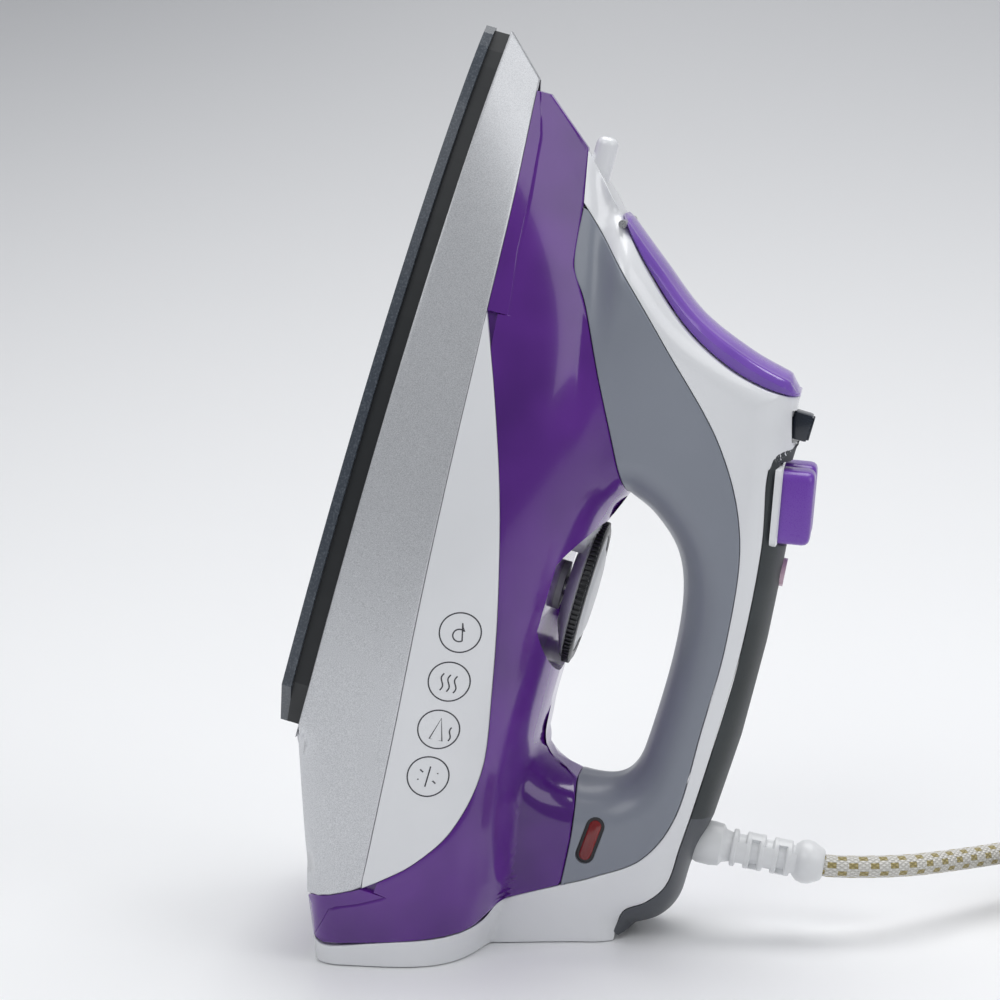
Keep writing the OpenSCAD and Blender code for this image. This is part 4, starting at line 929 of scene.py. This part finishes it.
def lid_mesh():
    """Curved plate with rounded ends, a crown across it and a low rim near its sides."""
    stations, across = 70, 25
    shares = np.linspace(0, 1, stations)
    rings = []
    for i, (top, low) in enumerate(zip(along(neck_line, shares), along(lid_line, shares))):
        up = top - low
        deep = np.linalg.norm(up)
        up = up / max(deep, 1e-9)
        low = low + up * LID_CLEAR
        tip = min(shares[i], 1 - shares[i]) * LID_L
        half = LID_HALF * (0.55 + 0.45 * math.sqrt(1 - (1 - min(tip / LID_ROUND, 1)) ** 2))
        crown = []
        for k in range(across):
            y = -1 + 2 * k / (across - 1)
            drop = 2.6 * y * y + 1.4 * abs(y) ** 8
            rim = 0.7 * math.exp(-((abs(y) - 0.86) / 0.07) ** 2)
            lift = max(deep * (0.25 + 0.75 * min(tip / 5, 1)) - drop + rim, 0.8)
            crown.append((low[0] + up[0] * lift, half * y, low[1] + up[1] * lift))
        foot = [(low[0], half * y, low[1]) for y in np.linspace(0.97, -0.97, across)]
        rings.append(crown + foot)
    return grid_mesh("lid_plate", rings, smooth_under=40)


add_piece("lid_plate", lid_mesh(), lid_lilac, "lid", stands_for=["fill_lid"])

# ------------------------------------------------------------------ dial
# Temperature dial lying in the top of the tank: a black knurled rim pressed
# onto a light grey cone, which turns on a shaft through the tank.
dial_black = moulded("dial_black", (0.012, 0.013, 0.015), 0.38, coat=0.15)
dial_grey = moulded("dial_grey", (0.66, 0.67, 0.69), 0.34, coat=0.2, tone=0.02)


def circle_points(sides):
    """Cosine and sine of equal angles round a circle."""
    return [(math.cos(2 * math.pi * k / sides), math.sin(2 * math.pi * k / sides)) for k in range(sides)]


def turned(name, profile, u, sides=96):
    """Shape turned about an upright axis in the soleplate's frame; profile is (radius, v)."""
    verts = [row(u + r * c, r * s, v) for r, v in profile for c, s in circle_points(sides)]
    return solid_mesh(name, verts, ring_faces(len(profile), sides), 35, weld=WELD / 2, fill=True)


RIM_R = DIAL_D / 2
KNURLS = 84
rim_profile = [(RIM_R - 3.6, DIAL_V + 0.4), (RIM_R - 1.4, DIAL_V + 0.2), (RIM_R - 0.9, DIAL_V + 0.6),
               (RIM_R - 0.8, DIAL_V + 2.4), (RIM_R - 1.2, DIAL_V + 2.9), (RIM_R - 2.2, DIAL_V + 3.3),
               (RIM_R - 3.6, DIAL_V + 3.4), (RIM_R - 4.4, DIAL_V + 3.1), (RIM_R - 4.4, DIAL_V + 0.8),
               (RIM_R - 3.6, DIAL_V + 0.4)]
add_piece("dial_rim_ring", turned("dial_rim_ring", rim_profile, DIAL_U), dial_black, "dial",
          stands_for=["dial_rim"])
body_profile = [(0.0, DIAL_V - 4.2), (12.4, DIAL_V - 4.2), (13.0, DIAL_V - 3.9),
                (RIM_R - 2.0, DIAL_V - 0.7), (RIM_R - 1.5, DIAL_V - 0.2), (RIM_R - 2.0, DIAL_V + 0.3),
                (RIM_R - 4.6, DIAL_V + 0.6), (RIM_R - 4.7, DIAL_V + 2.9), (RIM_R - 5.6, DIAL_V + 3.0),
                (RIM_R - 6.2, DIAL_V + 2.6), (14.6, DIAL_V + 3.6), (14.0, DIAL_V + 3.9),
                (12.0, DIAL_V + 4.3), (0.0, DIAL_V + 4.5)]
add_piece("dial_cone", turned("dial_cone", body_profile, DIAL_U), dial_grey, "dial",
          stands_for=["dial_body"])


def nodes_tree(name, inputs):
    """Empty Geometry Nodes tree with a mesh in and out and named number inputs."""
    tree = bpy.data.node_groups.new(name, "GeometryNodeTree")
    tree.interface.new_socket("Geometry", in_out="INPUT", socket_type="NodeSocketGeometry")
    for label, kind, value in inputs:
        socket = tree.interface.new_socket(label, in_out="INPUT", socket_type=kind)
        if value is not None:
            socket.default_value = value
    tree.interface.new_socket("Geometry", in_out="OUTPUT", socket_type="NodeSocketGeometry")
    return tree, tree.nodes.new("NodeGroupInput"), tree.nodes.new("NodeGroupOutput")


def around_tree():
    """Copies of the mesh at equal angles round the Z axis, at a radius."""
    tree, start, end = nodes_tree("ribs_round_a_ring", [
        ("Count", "NodeSocketInt", 12), ("Radius", "NodeSocketFloat", 0.01),
        ("Material", "NodeSocketMaterial", None)])
    nodes, links = tree.nodes, tree.links
    circle = nodes.new("GeometryNodeMeshCircle")
    links.new(start.outputs["Count"], circle.inputs["Vertices"])
    links.new(start.outputs["Radius"], circle.inputs["Radius"])
    place = nodes.new("GeometryNodeInputPosition")
    parts = nodes.new("ShaderNodeSeparateXYZ")
    links.new(place.outputs["Position"], parts.inputs["Vector"])
    angle = nodes.new("ShaderNodeMath")
    angle.operation = "ARCTAN2"
    links.new(parts.outputs["Y"], angle.inputs[0])
    links.new(parts.outputs["X"], angle.inputs[1])
    turn = nodes.new("ShaderNodeCombineXYZ")
    links.new(angle.outputs[0], turn.inputs["Z"])
    spread = nodes.new("GeometryNodeInstanceOnPoints")
    links.new(circle.outputs["Mesh"], spread.inputs["Points"])
    links.new(start.outputs["Geometry"], spread.inputs["Instance"])
    links.new(turn.outputs["Vector"], spread.inputs["Rotation"])
    real = nodes.new("GeometryNodeRealizeInstances")
    links.new(spread.outputs["Instances"], real.inputs["Geometry"])
    paint = nodes.new("GeometryNodeSetMaterial")
    links.new(real.outputs["Geometry"], paint.inputs["Geometry"])
    links.new(start.outputs["Material"], paint.inputs["Material"])
    links.new(paint.outputs["Geometry"], end.inputs["Geometry"])
    return tree


def run_tree(tree, mesh, values):
    """The mesh that a tree makes of a mesh, as a plain mesh."""
    obj = plain_object("made_by_nodes", mesh)
    step = obj.modifiers.new("nodes", "NODES")
    step.node_group = tree
    for item in tree.interface.items_tree:
        if item.item_type == "SOCKET" and item.in_out == "INPUT" and item.name in values:
            step[item.identifier] = values[item.name]
    bpy.context.view_layer.update()
    graph = bpy.context.evaluated_depsgraph_get()
    made = bpy.data.meshes.new_from_object(obj.evaluated_get(graph))
    bpy.data.objects.remove(obj)
    return made


def place_upright(mesh, u, v, y=0.0):
    """Moves a mesh made round the Z axis, in metres, to stand on the soleplate's frame."""
    up = Vector((LEAN_C, 0, -LEAN_S))
    way = Vector((LEAN_S, 0, LEAN_C))
    turn = Matrix((way, up.cross(way), up)).transposed().to_4x4()
    mesh.transform(Matrix.Translation(row(u, y, v)) @ turn)
    return mesh


def bar_mesh(name, x, y, z, bevel, at=(0, 0, 0)):
    """Box of size x, y, z in metres about a point, with rounded edges."""
    bm = bmesh.new()
    bmesh.ops.create_cube(bm, size=1)
    bmesh.ops.scale(bm, vec=(x, y, z), verts=bm.verts)
    bmesh.ops.translate(bm, vec=at, verts=bm.verts)
    bmesh.ops.bevel(bm, geom=bm.edges[:], offset=bevel, segments=2, affect="EDGES", profile=0.6)
    mesh = bpy.data.meshes.new(name)
    bm.to_mesh(mesh)
    bm.free()
    return mesh


ring_tree = around_tree()
knurl = bar_mesh("knurl", 0.0016, 0.00085, 0.0024, 0.0003, at=(-0.0006, 0, 0))
knurls = run_tree(ring_tree, knurl, {"Count": KNURLS, "Radius": RIM_R / 1000 - 0.0004,
                                     "Material": dial_black})
knurls.name = "dial_knurls"
place_upright(knurls, DIAL_U, DIAL_V + 1.5)
shade(knurls, 50)
piece = plain_object("dial_knurls", knurls)
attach(piece, "dial")

# ------------------------------------------------------------ pointer tab
# Small white tab beside the dial, which shows its setting.  It is moulded
# apart and clips into the top of the tank.
POINTER_U, POINTER_L, POINTER_HALF = 72.0, 15.0, 13.5


def pointer_mesh():
    """Rounded tab that slopes down towards its tip."""
    stations, across = 16, 15
    rings = []
    for t in np.linspace(0, 1, stations):
        u = POINTER_U + POINTER_L * t
        half = POINTER_HALF * math.sqrt(max(1 - ((t - 0.42) / 0.62) ** 2, 0.02))
        low, high = 66.5 + 4.0 * t, 77.2 + 1.4 * math.sin(math.pi * min(t * 1.1, 1)) - 4.2 * t ** 3
        top = [(u, half * y, low + (high - low) * (1 - 0.35 * abs(y) ** 3))
               for y in np.linspace(-1, 1, across)]
        foot = [(u, half * y, low) for y in np.linspace(1, -1, across)]
        rings.append(top + foot)
    return grid_mesh("pointer_tab", rings, smooth_under=40)


add_piece("pointer_tab", pointer_mesh(), gloss_white, stands_for=["dial_pointer"])

# -------------------------------------------------------------- buttons
# Two violet push buttons for spray and a burst of steam, side by side in
# the top of the grip, each with a dished face and a white edge round it.
BUTTON_AT = (105.5, 133.0)
BUTTON_L, BUTTON_W, BUTTON_UP, BUTTON_DOWN = 23.0, 14.0, 5.6, 5.0
BUTTON_Y = 1.0 + BUTTON_W / 2
BUTTON_LEAN = math.radians(11.3)
button_violet = moulded("button_violet", (0.165, 0.050, 0.42), 0.3, coat=0.25, tone=0.05)


def on_button(x, y, z, side):
    """Place in metres of a point on a button, from the middle of its travel frame."""
    u = BUTTON_AT[0] + x * math.cos(BUTTON_LEAN) + z * math.sin(BUTTON_LEAN)
    v = BUTTON_AT[1] - x * math.sin(BUTTON_LEAN) + z * math.cos(BUTTON_LEAN)
    return row(u, side * (BUTTON_Y + y), v)


def rounded(length, width, corner, steps=6):
    """Outline of a rectangle with rounded corners."""
    out = []
    for q in range(4):
        cx = (length / 2 - corner) * (1 if q in (0, 3) else -1)
        cy = (width / 2 - corner) * (1 if q < 2 else -1)
        for k in range(steps + 1):
            a = math.radians(90 * q + 90 * k / steps)
            out.append((cx + corner * math.cos(a), cy + corner * math.sin(a)))
    return out


def button_mesh(side):
    """Key with rounded edges and a slightly dished face."""
    levels = [(-BUTTON_DOWN, 0.0), (BUTTON_UP - 2.4, 0.0), (BUTTON_UP - 1.2, 0.25), (BUTTON_UP - 0.4, 0.9),
              (BUTTON_UP, 2.0), (BUTTON_UP - 0.25, 3.6), (BUTTON_UP - 0.5, 5.2)]
    verts = []
    for z, inset in levels:
        ring = rounded(BUTTON_L - 2 * inset, BUTTON_W - 0.3 - 2 * inset, max(3.2 - 0.45 * inset, 0.8))
        verts += [on_button(x, y, z, side) for x, y in ring]
    m = len(verts) // len(levels)
    faces = ring_faces(len(levels), m) + end_faces(len(levels), m)
    return solid_mesh("button", verts, faces, 40)


for side, body in ((-1, "spray"), (1, "burst")):
    add_piece(body + "_key", button_mesh(-side), button_violet, body,
              stands_for=[body + "_button"])


def border_mesh():
    """White edge moulded round the opening that the buttons work in."""
    outer = rounded(BUTTON_L + 2.4, 2 * BUTTON_W + 4.4, 4.2)
    inner = rounded(BUTTON_L + 0.8, 2 * BUTTON_W + 2.6, 3.4)
    verts = []
    for ring, z in ((outer, -6.6), (outer, -4.7), (inner, -4.2), (inner, -6.6)):
        verts += [on_button(x, y - BUTTON_Y, z, 1) for x, y in ring]
    return solid_mesh("button_border", verts, ring_faces(4, len(outer), shut=True), 35)


add_piece("button_border", border_mesh(), gloss_white)

# ---------------------------------------------------------- steam lever
# Navy steam lever in front of the buttons, ribbed on top for the thumb.  It
# rocks on a pin under the cover and lifts the rod of the steam valve.
HEAD_V, STEM_V, HUB_V, HUB_R = 127.6, 114.5, 104.0, 4.5
lever_navy = moulded("lever_navy", (0.010, 0.016, 0.028), 0.25, coat=0.4)


def joined(name, meshes, smooth_under):
    """Several meshes as one, shaded smooth."""
    parts = bmesh.new()
    for mesh in meshes:
        parts.from_mesh(mesh)
    whole = bpy.data.meshes.new(name)
    parts.to_mesh(whole)
    parts.free()
    shade(whole, smooth_under)
    return whole


def lever_mesh():
    """Head with four thumb ribs, on a stem that ends in the hub on the lever's pin."""
    head_l = (LEVER_U[1] - LEVER_U[0] + 0.6) / 1000
    rib_l = (LEVER_U[1] - LEVER_U[0] - 0.8) / 1000
    u = (LEVER_U[0] + LEVER_U[1]) / 2
    meshes = [place_upright(bar_mesh("head", head_l, 0.008, 0.0062, 0.0009), u, HEAD_V)]
    meshes += [place_upright(bar_mesh("rib", rib_l, 0.0009, 0.0009, 0.0003), u, HEAD_V + 3.2,
                             y=-2.7 + 1.8 * k) for k in range(4)]
    meshes.append(place_upright(bar_mesh("stem", 0.004, 0.004, 0.020, 0.0006), u, STEM_V))
    meshes.append(turned_ring(LEVER_U, HUB_R, HUB_V))
    return joined("lever_grip", meshes, 40)


def turned_ring(span, radius, v, hole=2.05, sides=40):
    """Short tube lying along u."""
    rings = [(span[0], radius), (span[1], radius), (span[1], hole), (span[0], hole)]
    verts = [row(u, r * c, v + r * s) for u, r in rings for c, s in circle_points(sides)]
    return solid_mesh("hub", verts, ring_faces(4, sides, shut=True))


add_piece("lever_grip", lever_mesh(), lever_navy, "lever",
          stands_for=["steam_lever"])

# ---------------------------------------------------------------- nozzle
# White spray nozzle with a round end and a fine hole, and a brass jet in it.
NOZZLE_V, NOZZLE_TIP, NOZZLE_R, NOZZLE_L = 46.0, 198.0, 3.5, 22


def lying(name, profile, v, sides=48):
    """Shape turned about an axis along u; profile is (u, radius)."""
    verts = [row(u, r * c, v + r * s) for u, r in profile for c, s in circle_points(sides)]
    return solid_mesh(name, verts, ring_faces(len(profile), sides), 40, weld=WELD / 2, fill=True)


nozzle_profile = [(NOZZLE_TIP - NOZZLE_L, 0.0), (NOZZLE_TIP - NOZZLE_L, NOZZLE_R)]
nozzle_profile += [(NOZZLE_TIP - 2.6 + 2.6 * math.sin(a), NOZZLE_R * (0.28 + 0.72 * math.cos(a)))
                   for a in np.linspace(0, math.pi / 2, 9)]
nozzle_profile += [(NOZZLE_TIP - 0.5, 0.8), (NOZZLE_TIP - 1.4, 0.5), (NOZZLE_TIP - 1.4, 0.0)]
add_piece("nozzle_tip", lying("nozzle_tip", nozzle_profile, NOZZLE_V), gloss_white,
          stands_for=["spray_nozzle"])

# -------------------------------------------------------- strain relief
# White flexible sleeve on the lead: a collar at the covers, five ribs
# joined by bridges on alternate sides, and a flared end.
RELIEF_L, RELIEF_OUT = 38.0, 14.0
relief_white = moulded("relief_white", (0.78, 0.79, 0.80), 0.38, coat=0.1, tone=0.02)


def on_relief(s, a, r):
    """Place in metres: s along the relief from its swivel, a round it, r from its axis."""
    way = relief_way
    side = Vector((0, 1, 0))
    up = way.cross(side)
    p = swivel_at + way * (s / 1000) + (side * math.sin(a) + up * math.cos(a)) * (r / 1000)
    return tuple(p)


def relief_part(profile, sides=40):
    """Ring turned about the relief's axis; profile is (along, radius), taken round."""
    verts = [on_relief(s, 2 * math.pi * k / sides, r) for s, r in profile for k in range(sides)]
    return solid_mesh("relief_part", verts, ring_faces(len(profile), sides, shut=True))


def relief_bridge(s0, s1, a, spread=0.62, low=4.2, high=6.0):
    """Curved web between two ribs, from s0 to s1 along the relief and about the angle a."""
    q = 6
    arcs = [a + spread * t for t in np.linspace(-1, 1, q)]
    verts = [on_relief(s, b, r) for s in (s0, s1) for r in (low, high) for b in arcs]
    faces = []
    for k in range(q - 1):
        faces += [(k, k + 1, q + k + 1, q + k), (2 * q + k, 2 * q + k + 1, 3 * q + k + 1, 3 * q + k),
                  (q + k, q + k + 1, 3 * q + k + 1, 3 * q + k), (k, k + 1, 2 * q + k + 1, 2 * q + k)]
    faces += [(0, q, 3 * q, 2 * q), (q - 1, 2 * q - 1, 4 * q - 1, 3 * q - 1)]
    return solid_mesh("relief_bridge", verts, faces)


def hub_mesh(sides=44):
    """Hub that the relief turns on, with a pin at each end."""
    half, pin_r, pin_l = 0.006, 0.002, 0.0035
    profile = [(-half - pin_l, pin_r), (-half, pin_r), (-half, SWIVEL_R)]
    profile += [(-y, r) for y, r in profile[::-1]]
    verts = [tuple(swivel_at + Vector((r * c, y, r * s))) for y, r in profile
             for c, s in circle_points(sides)]
    return solid_mesh("hub", verts, ring_faces(6, sides) + end_faces(6, sides))


def relief_mesh():
    """The whole sleeve: collar, core, ribs with their bridges, flare, neck and hub."""
    end = RELIEF_OUT + RELIEF_L
    bore = CORD_D * 500 + 0.15
    collar = [(RELIEF_OUT - 8, 3.7), (RELIEF_OUT - 8, 5.6), (RELIEF_OUT - 4, 6.0), (RELIEF_OUT - 2, 6.9),
              (RELIEF_OUT + 2, 7.1), (RELIEF_OUT + 5, 6.7), (RELIEF_OUT + 6, 5.4), (RELIEF_OUT + 8.5, 4.6),
              (RELIEF_OUT + 8.5, 3.7)]
    meshes = [relief_part(collar), relief_part([(RELIEF_OUT + 7.5, bore), (RELIEF_OUT + 7.5, 4.3),
                                                (end - 9, 4.3), (end - 9, bore)])]
    first, pitch, thick = RELIEF_OUT + 8.2, 4.35, 2.2
    for i in range(5):
        s = first + i * pitch
        r = 6.0 - 0.05 * i
        meshes.append(relief_part([(s, 4.2), (s + 0.25, r - 0.3), (s + 0.6, r), (s + thick - 0.6, r),
                                   (s + thick - 0.25, r - 0.3), (s + thick, 4.2)]))
        for a in ((0, math.pi) if i % 2 else (math.pi / 2, -math.pi / 2)):
            meshes.append(relief_bridge(s + 1.2, s + pitch + 1.0, a, high=r - 0.1))
    flare = [(end - 9.5, bore), (end - 9.5, 5.0), (end - 8, 6.4), (end - 6, 7.0), (end - 4, 6.8),
             (end - 1.6, 5.6), (end - 0.5, 5.0), (end, 4.3), (end, bore)]
    neck = [(-2, 3.2), (-2, 5.4), (RELIEF_OUT - 7.8, 5.4), (RELIEF_OUT - 7.8, 3.2)]
    meshes += [relief_part(flare), relief_part(neck), hub_mesh()]
    return joined("relief_sleeve", meshes, 38)


add_piece("relief_sleeve", relief_mesh(), relief_white, "swivel",
          stands_for=["strain_relief"])

# ------------------------------------------------------------ pilot lamp
# Clear red lens with a dark bezel on each side of the rear post.
lens_red = clear_violet("lens_red", (0.16, 0.006, 0.008), (0.55, 0.03, 0.03), through=0.3)
bezel_dark = moulded("bezel_dark", (0.02, 0.02, 0.024), 0.35)
for side, word in ((-1, "near"), (1, "far")):
    bezel = slot_mesh("bezel", LENS_L + 2.0, LENS_W + 2.0, *sorted((side * (lens_face - 2.6),
                      side * (lens_face - 1.0))), LENS_AT, tilt=LENS_TILT)
    add_piece("lens_bezel_" + word, bezel, bezel_dark)
lenses = [slot_mesh("lens", LENS_L, LENS_W, side * (lens_face - 2.2), side * (lens_face - 0.6), LENS_AT,
                    tilt=LENS_TILT, bulge=side * 0.5) for side in (-1, 1)]
add_piece("pilot_lens", joined("pilot_lens", lenses, 50), lens_red,
          stands_for=["pilot_lenses"])

# --------------------------------------------------------- carried pieces
# Pieces that keep their machined or moulded shape: sole, heater, valve,
# pump, wiring, screws and plug.  Each gets the finish of its real material.


def coated_sole():
    """Dark enamel fired on the aluminium sole: fine specks in a smooth satin glaze."""
    mat, nodes, links, shader = new_material("sole_enamel")
    specks = speckle(nodes, links, 0.0006, 2.0)
    share = between(nodes, links, specks, 0.5, 0.68, 0, 1)
    links.new(mixed(nodes, links, share, (0.040, 0.050, 0.066), (0.085, 0.10, 0.12)),
              shader.inputs["Base Color"])
    links.new(between(nodes, links, specks, 0.3, 0.7, 0.28, 0.4), shader.inputs["Roughness"])
    shader.inputs["Coat Weight"].default_value = 0.3
    shader.inputs["Coat Roughness"].default_value = 0.15
    raised(nodes, links, shader, specks, 0.00001)
    return mat


def bare_metal(name, colour, rough, scratch=0.0004):
    """Bare metal with fine drawn or cast texture in its gloss."""
    mat, nodes, links, shader = new_material(name)
    grain = speckle(nodes, links, scratch, 3.0)
    dark = tuple(c * 0.82 for c in colour)
    links.new(mixed(nodes, links, between(nodes, links, grain, 0.35, 0.65, 0, 1), dark, colour),
              shader.inputs["Base Color"])
    links.new(between(nodes, links, grain, 0.3, 0.7, rough * 0.8, rough * 1.3),
              shader.inputs["Roughness"])
    shader.inputs["Metallic"].default_value = 1.0
    raised(nodes, links, shader, grain, 0.00001)
    return mat


finishes = {
    "sole_coating": coated_sole(),
    "cast_aluminium": bare_metal("cast_aluminium", (0.62, 0.63, 0.64), 0.5, 0.0008),
    "steel": bare_metal("bright_steel", (0.58, 0.58, 0.59), 0.28),
    "seal_rubber": moulded("seal_rubber", (0.42, 0.10, 0.05), 0.6),
    "black_plastic": moulded("shield_black", (0.010, 0.012, 0.014), 0.48, coat=0.05),
    "tank_violet": tank_violet,
    "gloss_white": gloss_white,
    "cover_grey": cover_grey,
    "hose_silicone": moulded("hose_silicone", (0.62, 0.65, 0.66), 0.35, coat=0.2),
    "inner_plastic": moulded("inner_plastic", (0.60, 0.60, 0.61), 0.45),
    "brass": bare_metal("bright_brass", (0.68, 0.50, 0.22), 0.3),
    "ceramic": moulded("ceramic", (0.72, 0.70, 0.62), 0.5, coat=0.1),
    "lamp_glass": clear_violet("lamp_glass", (0.70, 0.30, 0.12), (0.95, 0.60, 0.40), through=0.6),
    "relief_white": relief_white,
    "wire_silicone": moulded("wire_silicone", (0.55, 0.14, 0.03), 0.5),
    "badge_pink": moulded("badge_pink", (0.62, 0.42, 0.52), 0.2, coat=0.5),
}
slots = {part["node"]: part["material_slot"] for part in frame["record"]["subparts"]}
for node, obj in cad.items():
    if not obj.hide_render and slots[node] in finishes:
        obj.data.materials.clear()
        obj.data.materials.append(finishes[slots[node]])
